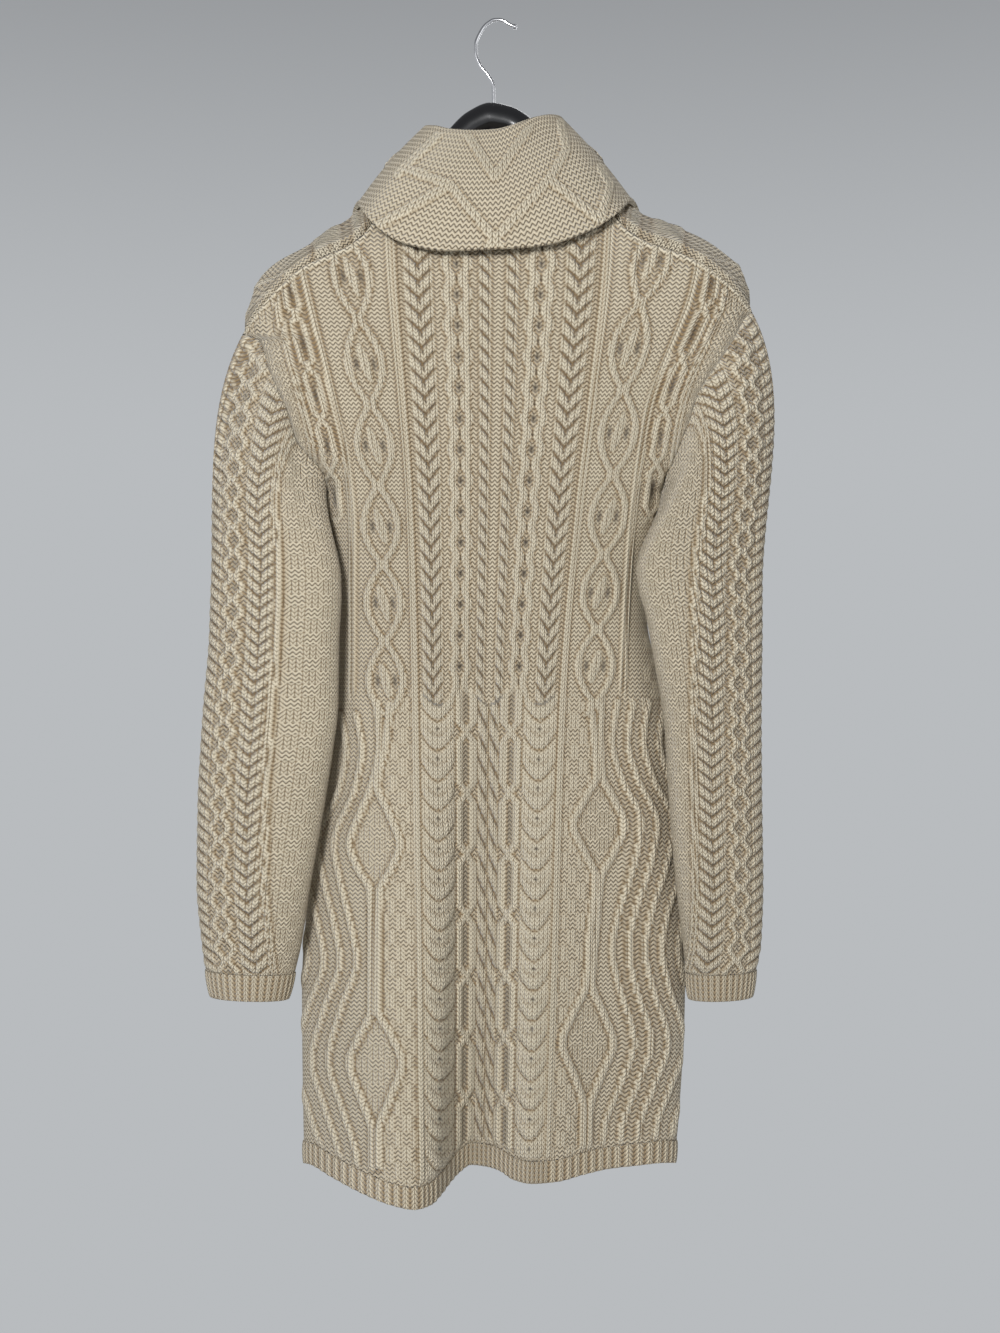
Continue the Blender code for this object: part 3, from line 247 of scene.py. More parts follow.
def spot(across, down, depth, level=None):
    """The point seen at a table position and lying at this depth; level fixes its height's depth."""
    across, down, depth = np.broadcast_arrays(*(np.asarray(v, float) for v in (across, down, depth)))
    near = (depth - EYE_Y) / -EYE_Y
    high = near if level is None else (np.asarray(level, float) - EYE_Y) / -EYE_Y
    x = EYE_X + ((across - HANG_ACROSS) * STEP - EYE_X) * near
    z = EYE_Z + ((HANG_DOWN - down) * STEP - EYE_Z) * high
    return np.stack([x, depth, z], axis=-1)


EDGE = {-1: tracks(LEFT_EDGE), 1: tracks(RIGHT_EDGE)}
TOP_DOWN, TOP_DEPTH = tracks(BACK_TOP)
RIDGE = {-1: tracks(LEFT_RIDGE)[0], 1: tracks(RIGHT_RIDGE)[0]}
NECK = {-1: tracks(LEFT_NECK), 1: tracks(RIGHT_NECK)}
MID_ACROSS, MID_HALF, MID_BACK, MID_FRONT = tracks(MIDDLE)
LINE_LEFT, LINE_RIGHT = tracks(OUTER_LINE)
FOLD_SHAPE = tracks(HEM_FOLDS)[0]
FOLD_ACROSS, FOLD_OPEN = tracks(FOLD_LINE)
HEM_DOWN = tracks(HEM_LINE)[0]
SLEEVE = {-1: tracks(LEFT_SLEEVE), 1: tracks(RIGHT_SLEEVE)}
NECK_POINT = {-1: 398.0, 1: 588.0}
TIP = {-1: 334.0, 1: 312.0}
INNER_AT, OUTER_AT = 0.46, 0.74  # where the twisted lines lie across a half back


def back_across(q, down):
    """Table position of stitch line q, from -1 at the left edge to 1 at the right edge."""
    q, down = np.broadcast_arrays(np.asarray(q, float), np.asarray(down, float))
    middle, half = MID_ACROSS(down), MID_HALF(down)
    left = q < 0
    edge = np.where(left, EDGE[-1][0](np.maximum(down, TIP[-1])), EDGE[1][0](np.maximum(down, TIP[1])))
    outer = np.where(left, LINE_LEFT(down), LINE_RIGHT(down))
    inner = middle + np.where(left, -half, half)
    a = np.abs(q)
    w = np.sin(np.clip((a - OUTER_AT) / (1 - OUTER_AT), 0, 1) * math.pi / 2)
    return np.where(a <= INNER_AT, middle + (inner - middle) * a / INNER_AT,
                    np.where(a <= OUTER_AT, inner + (outer - inner) * (a - INNER_AT) / (OUTER_AT - INNER_AT),
                             outer + (edge - outer) * w))


SIDE_DEPTH = smooth_track(
    (312, 340, 367, 430, 494, 560, 640, 700, 800, 1210),
    (-0.012, -0.026, -0.040, -0.050, -0.046, -0.036, -0.024, -0.014, 0.000, 0.000))


# down, across: the lines towards which the back rounds off beside the armholes
ROUND_LEFT = smooth_track((200, 300, 410, 443), (203, 243, 287, 298))
ROUND_RIGHT = smooth_track((190, 290, 390, 427), (820, 760, 700, 687))


def back_depth(across, down):
    """How deep the back lies at a table position."""
    middle = MID_ACROSS(down)
    left = across < middle
    edge = np.where(left, np.maximum(EDGE[-1][0](down), np.where(down < 443, ROUND_LEFT(down), 0)),
                    np.minimum(EDGE[1][0](down), np.where(down < 427, ROUND_RIGHT(down), 999)))
    side = np.where(left, EDGE[-1][1](down), EDGE[1][1](down))
    out = np.clip((across - middle) / (edge - middle), 0, 1)
    side = SIDE_DEPTH(down) + (side - SIDE_DEPTH(down)) * out**12
    depth = side + (MID_BACK(down) - side) * np.sqrt(1 - out**3)
    depth = depth + FOLD_SHAPE(across - FOLD_ACROSS(down)) * FOLD_OPEN(down)
    below = np.maximum(down - TOP_DOWN(across), 0)
    top = TOP_DEPTH(across)
    depth = top + (depth - top) * (1 - np.exp(-below / 26.0))
    return depth


def back_start(q):
    """Table height at which stitch line q meets the shoulder seam or the neck."""
    down = np.full(np.shape(q), 260.0)
    for _ in range(40):
        down = 0.5 * down + 0.5 * TOP_DOWN(back_across(q, down))
    down = np.where(np.asarray(q) <= -0.9999, TIP[-1], down)
    return np.where(np.asarray(q) >= 0.9999, TIP[1], down)


def back_base(q, t):
    """The back: t 0 at the top, 1 at the underarm, 2 at the rib, 3 at the bottom edge."""
    q, t = np.broadcast_arrays(np.asarray(q, float), np.asarray(t, float))
    start = back_start(q)
    end = HEM_DOWN(back_across(q, np.full(q.shape, 1170.0)))
    down = np.where(t < 1, start + (UNDERARM - start) * t, UNDERARM + (end - HEM_HIGH - UNDERARM) * (t - 1))
    down = np.where(t > 2, end - HEM_HIGH * (3 - t), down)
    across = back_across(q, down)
    return spot(across, down, back_depth(across, down))


def front_base(side, p, t):
    """A front: p 0 at the armhole and side, 1 at the band; t as for the back."""
    p, t = np.broadcast_arrays(np.asarray(p, float), np.asarray(t, float))
    inner, neck = FRONT_INNER[side], NECK_POINT[side]
    over = p < 0.5499
    knots = [BACK_TOP[k][0] for k in SHOULDER_KNOTS[side]]
    first = np.where(over, np.interp(p, KNOT_SHARE, knots), neck + (inner - neck) * (p - 0.55) / 0.45)
    start = np.where(over, TOP_DOWN(first), NECK[side][0](first))
    start_depth = np.where(over, TOP_DEPTH(first), NECK[side][1](first))
    rise = np.where(over, RIDGE[side](first), start + 0.10 * (UNDERARM - start))
    fall = np.where(over, rise + 30, start + 0.22 * (UNDERARM - start))
    keys = np.array([0, 0.10, 0.22, 1.0])
    stops = np.stack([start, rise, fall, np.full(p.shape, UNDERARM)], axis=-1)
    low = np.clip(np.searchsorted(keys, np.minimum(t, 0.999999), side="right") - 1, 0, 2)
    share = (np.minimum(t, 1) - keys[low]) / (keys[low + 1] - keys[low])
    pick = np.take_along_axis(stops, low[..., None], -1)[..., 0]
    after = np.take_along_axis(stops, low[..., None] + 1, -1)[..., 0]
    down = pick + (after - pick) * share
    down = np.where(p <= 0, TIP[side] + (UNDERARM - TIP[side]) * np.minimum(t, 1), down)
    down = np.where(t > 1, UNDERARM + (FRONT_HEM - HEM_HIGH - UNDERARM) * (t - 1), down)
    down = np.where(t > 2, FRONT_HEM - HEM_HIGH * (3 - t), down)
    edge = EDGE[side][0](down)
    reach = np.sin(p * math.pi / 2) ** 1.3
    across = edge + (inner - edge) * reach
    across = np.where(p <= 0, edge, first + (across - first) * ease(0, 0.5, t))
    out = np.clip((across - 493) / (edge - 493), 0, 1)
    side_depth = EDGE[side][2](down)
    depth = side_depth + (MID_FRONT(down) - side_depth) * np.sqrt(1 - out**3)
    settled = ease(0.10, 0.40, t)
    early = np.interp(t, [0, 0.10, 0.22, 1], [0, 1, 2, 2])
    ridge_depth = np.where(over, 0.003 * p / 0.55 - 0.006 * (1 - p / 0.55),
                           np.maximum(start_depth + 0.002, 0.026))
    front_depth = np.where(over, 0.027 + 0.008 * p / 0.55, np.maximum(start_depth + 0.003, 0.040))
    fresh = np.where(early < 1, start_depth + (ridge_depth - start_depth) * early,
                     ridge_depth + (front_depth - ridge_depth) * (early - 1))
    depth = np.where(p <= 0, side_depth, fresh + (depth - fresh) * settled)
    if side > 0:
        depth = depth + BAND_STEP * ease(0.45, 1.0, p) * ease(0.0, 0.25, t)
    point = spot(across, down, depth, np.zeros(p.shape))
    seam = spot(first, start, start_depth)
    return np.where(((t <= 0) & over)[..., None], seam, point)


def grid_normals(points, flip=1.0):
    """Outward direction at each point of a grid (rows down, columns across)."""
    return unit(np.cross(np.gradient(points, axis=1), np.gradient(points, axis=0))) * flip


def strip(upper, lower, upper_at, lower_at):
    """Triangles between two lines of vertices that start and end together."""
    faces, a, b = [], 0, 0
    while a < len(upper) - 1 or b < len(lower) - 1:
        step_upper = b == len(lower) - 1 or (
            a < len(upper) - 1 and upper_at[a + 1] <= (lower_at[b] + lower_at[b + 1]) / 2)
        if step_upper:
            faces.append((upper[a], lower[b], upper[a + 1]))
            a += 1
        else:
            faces.append((upper[a], lower[b], lower[b + 1]))
            b += 1
    return faces


def sleeve_ring(side, angle, down):
    """A sleeve's section: angle 0 at the outer edge, pi at the inner edge, passing the back between."""
    outer, inner, middle_depth, half_depth, lean = (track(down) for track in SLEEVE[side])
    e = -np.cos(angle)
    s = np.sin(angle)
    across = (outer + inner) / 2 + (inner - outer) / 2 * e
    depth = middle_depth - lean * e - half_depth * np.sign(s) * np.abs(s) ** 0.85
    return spot(across, down, depth, middle_depth)


def sleeve_base(side, angle, t, start):
    """The sleeve: t 0 at the armhole, 1 where it hangs free, 2 at the cuff, 3 at the cuff's end."""
    free = sleeve_ring(side, angle, np.full(np.shape(angle), SLEEVE_FREE))
    if t >= 2:
        return sleeve_ring(side, angle, np.full(np.shape(angle), CUFF_TOP + (CUFF_END - CUFF_TOP) * (t - 2)))
    if t >= 1:
        down = SLEEVE_FREE + (CUFF_TOP - SLEEVE_FREE) * (t - 1)
        return sleeve_ring(side, angle, np.full(np.shape(angle), down))
    long = np.linalg.norm(free - start, axis=-1, keepdims=True)
    e = -np.cos(angle)[:, None]
    s = np.sin(angle)[:, None]
    leave = unit(np.concatenate([side * (0.30 - 0.24 * e), -0.30 * s - 0.16 * (1 + e), -1.0 + 0 * s],
                                axis=1)) * long
    arrive = unit(sleeve_ring(side, angle, np.full(np.shape(angle), SLEEVE_FREE + 20)) - free) * long
    return (start * (2 * t**3 - 3 * t**2 + 1) + leave * (t**3 - 2 * t**2 + t)
            + free * (3 * t**2 - 2 * t**3) + arrive * (t**3 - t**2))


BODY = "root"
WALE, COURSE = 5.0, 4.3  # width and height of one stitch, in table steps
COLLAR_WALE, COLLAR_COURSE = 6.4, 5.4


def grid_place(q, t):
    """Table place, across and down, of the back at stitch line q and row t."""
    q, t = np.broadcast_arrays(np.asarray(q, float), np.asarray(t, float))
    start = back_start(q)
    end = HEM_DOWN(back_across(q, np.full(q.shape, 1170.0)))
    down = np.where(t < 1, start + (UNDERARM - start) * t, UNDERARM + (end - HEM_HIGH - UNDERARM) * (t - 1))
    down = np.where(t > 2, end - HEM_HIGH * (3 - t), down)
    return back_across(q, down), down


# Charts


def ridge(offset, width, power=0.7):
    """A rounded strand of this width, 1 at its middle line and 0 at its edges."""
    return np.clip(1 - (2 * offset / width) ** 2, 0, 1) ** power


def rope_turn(offset, down, width, period):
    """Turns made by a twisted cable down to this place, leaning to the right."""
    return down / period - 0.9 * offset / width


def folded_turn(offset, down, width, period):
    """Turns made by two ropes that mirror each other about their shared middle line."""
    return down / period + 1.8 * np.abs(offset) / width


def rope(offset, down, width, period):
    """A twisted cable: slanting rolls across a rounded strand."""
    roll = np.abs(np.sin(math.pi * rope_turn(offset, down, width, period)))
    return ridge(offset, width, 0.5) * (0.34 + 0.66 * roll)


def folded(offset, down, width, period):
    """Two ropes that mirror each other about their shared middle line."""
    a = np.abs(offset)
    roll = np.abs(np.sin(math.pi * folded_turn(offset, down, width, period)))
    middle = 0.45 + 0.55 * np.clip(a / (0.12 * width), 0, 1)
    return ridge(offset, width, 0.4) * (0.30 + 0.70 * roll) * middle


def paired(offset, down, near, far, period, width):
    """Two strands that wave together and apart; the one on top changes at each meeting."""
    swing = (near + far) / 2 - (far - near) / 2 * np.cos(2 * math.pi * down / period)
    over = 0.90 + 0.10 * np.sin(math.pi * down / period)
    return np.maximum(ridge(offset - swing, width) * over, ridge(offset + swing, width) * (1.8 - over))


def linked(offset, down, spread, period, width):
    """Two strands that cross, run side by side round a slot, and cross again."""
    f = np.sin(math.pi * down / period)
    swing = spread * np.sign(f) * np.clip(np.abs(f) * 1.9, 0, 1)
    return np.maximum(ridge(offset - swing, width), ridge(offset + swing, width) * 0.93)


def cups(offset, down, width, period):
    """Stacked horseshoes: rolls that rise from the middle to both edges, plain knitting between."""
    a = np.abs(offset) / (width / 2)
    bend = 0.58 * np.clip(a, 0, 1) ** 1.9
    turn = (down / period + bend) % 1
    arm = ease(0.46, 0.62, turn) * (1 - ease(0.90, 1.0, turn))
    plain = 0.50 * ease(0.0, 0.20, turn)
    return ridge(offset, width, 0.4) * np.maximum(plain, arm)


def spots(offset, down, period, shift, wide, high):
    """A row of small holes down a line."""
    step = ((down - shift) / period + 0.5) % 1 - 0.5
    return np.clip(1.25 - (offset / wide) ** 2 - (step * period / high) ** 2, 0, 1)


def along(down, table):
    """Across value of a strand at each height, and whether the strand reaches there."""
    keys = [r[0] for r in table]
    track = smooth_track(keys, [r[1] for r in table])
    slope = (track(down + 2) - track(down - 2)) / 4
    return track(down), np.sqrt(1 + slope**2), (down >= keys[0]) & (down <= keys[-1])


def strand(across, down, table, width):
    middle, stretch, inside = along(down, table)
    return ridge((across - middle) / stretch, width) * inside


# down, across: middles of the small diamonds, from the shoulder to the waist
DIAMONDS = {
    -1: ((196, 338), (276, 351.5), (364, 365), (446, 374.5), (527, 381), (603, 384), (681, 386), (757, 387)),
    1: ((176, 672), (260, 652), (348, 629), (433, 618), (517, 608), (593, 599.5), (666, 595), (742, 594)),
}
# down, across: both strands of the two large diamonds of the skirt
BIG_DIAMONDS = {
    -1: (((700, 391), (745, 386), (786, 378), (815, 390), (845, 400), (868, 392), (893, 380), (955, 379),
          (1010, 379), (1036, 392), (1063, 402), (1100, 390), (1134, 379), (1170, 379)),
         ((700, 377), (745, 380), (786, 372), (815, 360), (845, 350), (868, 358), (893, 371), (955, 372),
          (1010, 372), (1036, 360), (1063, 350), (1100, 362), (1134, 373), (1170, 373))),
    1: (((690, 588), (735, 594), (775, 596), (800, 584), (825, 573), (852, 584), (878, 595), (930, 590),
         (984, 586), (1013, 573), (1043, 562), (1076, 574), (1108, 583), (1170, 581)),
        ((690, 602), (735, 600), (775, 602), (800, 614), (825, 624), (852, 614), (878, 601), (930, 596),
         (984, 592), (1013, 603), (1043, 613), (1076, 601), (1108, 590), (1170, 588))),
}
# down, across: the innermost of the ribs that travel beside the diamonds
TRAVEL = {
    -1: ((712, 356), (750, 362), (786, 356), (845, 334), (880, 340), (930, 352), (960, 357), (1010, 341),
         (1060, 329), (1110, 343), (1160, 357), (1200, 358)),
    1: ((700, 618), (742, 612), (775, 620), (825, 641), (865, 634), (915, 618), (950, 612), (984, 618),
        (1043, 634), (1085, 620), (1130, 604), (1200, 600)),
}


def back_chart(across, down):
    """Height of the strands, share of purl ground, share of moss and the holes, over the back."""
    middle, half = MID_ACROSS(down), MID_HALF(down)
    offset = across - middle
    side = np.where(offset < 0, -1, 1)
    h = np.abs(offset) / half
    change = down - 8 * np.cos(9 * h)
    low = ease(688, 706, change)
    up = np.maximum.reduce([
        rope((h - 0.13) * half * side, down, 0.135 * half, 16.0),
        paired((h - 0.40) * half, down, 0.055 * half, 0.105 * half, 31.0, 0.100 * half),
        folded((h - 0.765) * half, down, 0.29 * half, 16.6)])
    below = np.maximum.reduce([
        rope((h - 0.075) * half * side, down, 0.15 * half, 24.0),
        linked((h - 0.315) * half, down, 0.105 * half, 61.0, 0.125 * half),
        cups((h - 0.715) * half, down, 0.46 * half, 30.0)])
    panel = np.where(h < 0.965, up * (1 - low) + below * low, 0)
    holes = np.maximum.reduce([
        spots((h - 0.40) * half, down, 31.0, 15.5, 2.3, 4.2),
        spots((h - 0.40) * half, down, 31.0, 0, 1.5, 2.0),
        spots((h - 0.765) * half, down, 16.6, 4.0, 1.3, 2.4)]) * (1 - low)
    holes = np.maximum(holes, spots((h - 0.715) * half, down, 30.0, 9.0, 2.0, 1.8) * low)
    slots = np.clip(1.2 - ((h - 0.315) * half / 2.6) ** 2, 0, 1) * np.clip(
        np.abs(np.sin(math.pi * down / 61.0)) * 3 - 1.3, 0, 1) * low
    line = np.maximum(ridge((h - 0.985) * half, 3.6), ridge((h - 1.035) * half, 3.6))
    height = np.maximum(panel, line * 0.8)
    moss = np.zeros_like(h)
    leafy = np.zeros_like(h)
    for where in (-1, 1):
        here = side == where
        outer = (LINE_LEFT if where < 0 else LINE_RIGHT)(down)
        keys = [r[0] for r in DIAMONDS[where]]
        centre = smooth_track(keys, [r[1] for r in DIAMONDS[where]])(down)
        step = np.interp(down, keys, np.arange(len(keys)))
        near = np.round(step)
        f = step - near
        swing = 17.0 * np.clip(np.cos(math.pi * f), 0.14, 1) ** 0.9
        off = across - centre
        parity = np.where(near % 2 == 0, 1.0, -1.0)
        diamond = np.maximum(ridge(off - swing * parity, 7.6), ridge(off + swing * parity, 7.6) * 0.92)
        period = 80.0
        lean = off + where * f * period * 0.22
        body = 10.5 * np.sqrt(np.clip(1 - (f * period / 19.0) ** 2, 0.001, 1))
        vein = 0.45 + 0.40 * np.clip(np.abs(lean) / 1.8, 0, 1)
        leaf = ridge(lean, body) * vein * (np.abs(f) * period < 18.5)
        aside = (np.abs(off + where * f * 6) - 8.6) / 2.3
        hollow = np.clip(1.2 - aside ** 2 - (f * period / 7.5) ** 2, 0, 1)
        above = here * (down < 716) * (h > 1.06) * ((across - outer) * where < -3)
        height = np.where(above, np.maximum.reduce([height, diamond, leaf]), height)
        holes = np.where(above, np.maximum(holes, hollow * 0.75), holes)
        second = np.maximum(ridge(across - outer, 3.6), ridge(across - outer - where * 4.0, 3.6)) * 0.8
        high_up = 1 - ease(505, 530, down)
        height = np.where(here, np.maximum(height, second * (1 - low)), height)
        arm = (across - outer) * where
        link = linked(arm - 19.0, down + where * 4, 6.0, 52.0, 6.5)
        extra = np.maximum(ridge(arm - 33.0, 3.6), ridge(arm - 37.0, 3.6)) * 0.8
        height = np.where(here, np.maximum.reduce([height, link * high_up, extra * high_up]), height)
        moss = np.where(here & (arm > 40) & (down < 520), 1.0, moss)
        beside = np.clip(1.2 - ((arm - 19) / 2.0) ** 2, 0, 1)
        opened = np.clip(np.abs(np.sin(math.pi * (down + where * 4) / 52)) * 4 - 3, 0, 1)
        holes = np.where(here, np.maximum(holes, high_up * beside * opened * 0.8), holes)
        big = np.maximum(*(strand(across, down, table, 8.2) for table in BIG_DIAMONDS[where]))
        first, last = (smooth_track([r[0] for r in t], [r[1] for r in t])(down) for t in BIG_DIAMONDS[where])
        within = np.clip((across - np.minimum(first, last)) / 4, 0, 1) * np.clip(
            (np.maximum(first, last) - across) / 4, 0, 1) * (np.abs(first - last) > 16)
        ribs = np.zeros_like(h)
        travel, stretch, inside = along(down, TRAVEL[where])
        for k in range(6):
            place = travel + where * (15.5 * k)
            drift = (np.interp(down, [700, 1200], [0, 1]) * 2.0) * k * where
            ribs = np.maximum(ribs, ridge((across - place - drift) / stretch, 6.6) * inside)
        skirt = here * low
        height = np.maximum(height, np.maximum(big, ribs * 0.82) * skirt)
        moss = np.maximum(moss, within * skirt)
        between = here * (h > 1.06) * ((across - np.where(where < 0, np.maximum(first, last),
                                                          np.minimum(first, last))) * where < -5)
        block = (np.floor(down / 15.5) + np.floor((across - middle) / 9.0)) % 2
        leafy = np.where((between > 0) & (low > 0.5), block, leafy)
        panel_block = (np.floor(down / 15.5) + np.floor(arm / 10.0)) % 2
        leafy = np.where(here & (arm > 22) & (down > 520) & (down < 712), panel_block, leafy)
    purl = np.clip(1 - 2.2 * height, 0, 1)
    purl = np.where(leafy > 0.5, 0.15, purl)
    height = np.maximum(height, 0.16 * leafy)
    holes = np.maximum(holes, slots * 0.45)
    ropes = np.where(h < 0.25, ridge((h - 0.13) * half, 0.135 * half, 0.3),
                     ridge((h - 0.765) * half, 0.29 * half, 0.3))
    ropes = ropes * (1 - low) + ridge((h - 0.075) * half, 0.15 * half, 0.3) * low
    turn = np.where(h < 0.25, rope_turn((h - 0.13) * half * side, down, 0.135 * half, 16.0),
                    folded_turn((h - 0.765) * half, down, 0.29 * half, 16.6))
    turn = np.where(change < 697, turn, rope_turn((h - 0.075) * half * side, down, 0.15 * half, 24.0))
    return height, purl, moss * (height < 0.2), holes, ropes * (h < 0.96), turn


def sleeve_chart(off, down):
    """The sleeve's cables; off is the distance from its outer edge in table steps."""
    line = np.maximum(ridge(off - 65.5, 3.4), ridge(off - 69.3, 3.4)) * 0.8
    height = np.maximum.reduce([
        rope(off - 5.5, down, 11.0, 12.0),
        paired(off - 22.5, down, 2.4, 8.6, 24.0, 6.4),
        folded(off - 50.0, down, 27.0, 12.2), line])
    holes = np.maximum(spots(off - 22.5, down, 24.0, 12.0, 2.0, 3.4),
                       spots(off - 50.0, down, 12.2, 4.0, 1.0, 1.7)) * 0.55
    moss = (off > 72).astype(float)
    near = off < 20
    ropes = np.where(near, ridge(off - 5.5, 11.0, 0.3), ridge(off - 50.0, 27.0, 0.3))
    turn = np.where(near, rope_turn(off - 5.5, down, 11.0, 12.0), folded_turn(off - 50.0, down, 27.0, 12.2))
    return height, np.clip(1 - 2.2 * height, 0, 1), moss, holes, ropes, turn


# across, down: the lattice bands over the collar's fall
LATTICE = (
    ((372, 232), (382, 224), (450, 185), (494.8, 239.6), (500, 246)),
    ((489, 246), (494.8, 239.6), (549, 179), (599, 220), (606, 226)),
    ((462, 128), (471, 140), (494.8, 176.7), (527, 131), (530, 124)),
    ((398, 174), (404, 168), (434, 140), (444, 128)),
    ((404, 168), (450, 185)), ((549, 179), (566, 150), (560, 122)), ((599, 220), (610, 185), (600, 168)),
)


def run_distance(across, down, line):
    """Distance to a broken line."""
    best = np.full(np.shape(across), 1e9)
    for (a, b), (c, d) in zip(line, line[1:]):
        t = np.clip(((across - a) * (c - a) + (down - b) * (d - b)) / ((c - a) ** 2 + (d - b) ** 2), 0, 1)
        best = np.minimum(best, np.hypot(across - a - (c - a) * t, down - b - (d - b) * t))
    return best


def collar_chart(across, down, around, fall, behind):
    """The lattice over the collar: bands drawn at the back, the same lattice carried on round the front."""
    near = np.full(np.shape(across), 1e9)
    for line in LATTICE:
        near = np.minimum(near, run_distance(across, down, line))
    cross = np.abs(((around * 0.31 + fall * 0.5) % 1) - 0.5) * 2
    other = np.abs(((around * 0.31 - fall * 0.5) % 1) - 0.5) * 2
    far = np.minimum(cross, other) * 60
    away = np.where(behind, near, far)
    return ridge(away, 9.5, 0.6) * (0.34 + 0.30 * np.clip(np.abs(away) / 1.8, 0, 1))


# Walls


def set_values(mesh, name, values):
    mesh.attributes.new(name, "FLOAT", "POINT").data.foreach_set("value", np.asarray(values, np.float32))


def grid_quads(high, wide, first, wrap):
    ring = wide if wrap else wide - 1
    j, i = np.meshgrid(np.arange(high - 1), np.arange(ring), indexing="ij")
    after = (i + 1) % wide
    return np.stack([first + j * wide + i, first + (j + 1) * wide + i,
                     first + (j + 1) * wide + after, first + j * wide + after], axis=-1).reshape(-1, 4)


def hollow_shade_mask(height):
    """How far each point lies below its surroundings, from 0 to 1: where the wool gets painted shade in the
    valleys beside the strands and ribs.
    """
    soft = height
    for _ in range(3):
        near = [np.roll(soft, k, axis=a) for a in (0, 1) for k in (-1, 1)]
        soft = (soft * 2 + sum(near)) / 6
    low = np.clip((soft - height) * 3.2, 0, 1) + np.clip(0.35 - height, 0, 1) * 0.7
    return np.clip(low, 0, 1)


def cloth(name, outer, inner, stride, chart, stitch, material, wrap=False, wale_turn=0.0):
    """A closed knitted wall: a fine outer grid, a plain inner grid and the rims between them."""
    high, wide = outer.shape[:2]
    # The low mark is painted shade, laid in the hollows between the strands.
    chart = {**chart, "low": hollow_shade_mask(np.broadcast_to(chart["rise"], (high, wide)))}
    del chart["rise"]
    rows = sorted({*range(0, high, stride[0]), high - 1})
    columns = [c for c in sorted({*range(0, wide, stride[1]), wide - 1}) if not (wrap and c == wide - 1)]
    coarse = inner[np.ix_(rows, columns)]
    vertices = np.concatenate([outer.reshape(-1, 3), coarse.reshape(-1, 3)])
    quads = grid_quads(high, wide, 0, wrap)
    lining = grid_quads(len(rows), len(columns), high * wide, wrap)[:, ::-1]
    steps = len(columns) if wrap else len(columns) - 1
    ring = wide if wrap else wide - 1
    line = list(range(ring + 1))
    across = list(columns) + ([wide] if wrap else [])
    rims = []
    for row, picked in ((0, 0), (high - 1, len(rows) - 1)):
        edge = [row * wide + i % wide for i in line]
        under = [high * wide + picked * len(columns) + k % len(columns) for k in range(steps + 1)]
        faces = strip(edge, under, line, across)
        rims += faces if row else [f[::-1] for f in faces]
    if not wrap:
        tall = list(range(high))
        for column, picked in ((0, 0), (wide - 1, len(columns) - 1)):
            edge = [j * wide + column for j in tall]
            under = [high * wide + k * len(columns) + picked for k in range(len(rows))]
            faces = strip(edge, under, tall, rows)
            rims += [f[::-1] for f in faces] if column else faces
    rims = np.array(rims)
    v = vertices
    volume = sum(np.einsum("ij,ij->i", v[f[:, 0]], np.cross(v[f[:, a]], v[f[:, a + 1]])).sum()
                 for f in (quads, lining) for a in (1, 2))
    volume += np.einsum("ij,ij->i", v[rims[:, 0]], np.cross(v[rims[:, 1]], v[rims[:, 2]])).sum()
    if volume < 0:
        quads, lining, rims = quads[:, ::-1], lining[:, ::-1], rims[:, ::-1]
    loops = np.concatenate([quads.ravel(), lining.ravel(), rims.ravel()]).astype(np.int32)
    sizes = np.concatenate([np.full(len(quads) + len(lining), 4), np.full(len(rims), 3)]).astype(np.int32)
    starts = np.concatenate([[0], np.cumsum(sizes)[:-1]]).astype(np.int32)
    mesh = bpy.data.meshes.new(name)
    mesh.vertices.add(len(vertices))
    mesh.vertices.foreach_set("co", vertices.astype(np.float32).ravel())
    mesh.loops.add(len(loops))
    mesh.loops.foreach_set("vertex_index", loops)
    mesh.polygons.add(len(sizes))
    mesh.polygons.foreach_set("loop_start", starts)
    mesh.polygons.foreach_set("use_smooth", np.concatenate(
        [np.ones(len(quads) + len(lining), bool), np.zeros(len(rims), bool)]))
    mesh.update(calc_edges=True)
    for key, values in chart.items():
        grid = np.broadcast_to(values, (high, wide))
        set_values(mesh, key, np.concatenate([grid.ravel(), grid[np.ix_(rows, columns)].ravel() * 0
                                              + (1.0 if key == "purl" else 0.0)]))
    wales, courses = (np.broadcast_to(s, (high, wide)) for s in stitch)
    flat = np.stack([np.concatenate([s.ravel(), s[np.ix_(rows, columns)].ravel()])
                     for s in (wales, courses)], axis=-1)
    corner = flat[loops]
    if wrap:
        turned = quads % wide
        turned = ((turned == wide - 1).any(axis=1) & (turned == 0).any(axis=1))[:, None] & (turned == 0)
        corner[:quads.size][turned.ravel(), 0] += wale_turn
    mesh.uv_layers.new(name="stitch").data.foreach_set("uv", corner.astype(np.float32).ravel())
    mesh.materials.append(material)
    item = bpy.data.objects.new(name, mesh)
    bpy.context.scene.collection.objects.link(item)
    return item


# Shader groups


def new_group(name, inputs, outputs):
    tree = bpy.data.node_groups.new(name, "ShaderNodeTree")
    for label, kind, value in inputs:
        socket = tree.interface.new_socket(label, in_out="INPUT", socket_type=kind)
        if value is not None:
            socket.default_value = value
    for label, kind in outputs:
        tree.interface.new_socket(label, in_out="OUTPUT", socket_type=kind)
    return tree, tree.nodes.new("NodeGroupInput").outputs, tree.nodes.new("NodeGroupOutput").inputs


def sums(tree):
    """A function that adds math nodes to a tree and returns their result sockets."""
    def add(operation, *values, clamp=False):
        node = tree.nodes.new("ShaderNodeMath")
        node.operation, node.use_clamp = operation, clamp
        for k, value in enumerate(values):
            if isinstance(value, (int, float)):
                node.inputs[k].default_value = value
            else:
                tree.links.new(value, node.inputs[k])
        return node.outputs[0]
    return add


def mixed(tree, factor, a, b):
    add = sums(tree)
    return add("ADD", a, add("MULTIPLY", add("SUBTRACT", b, a), factor))


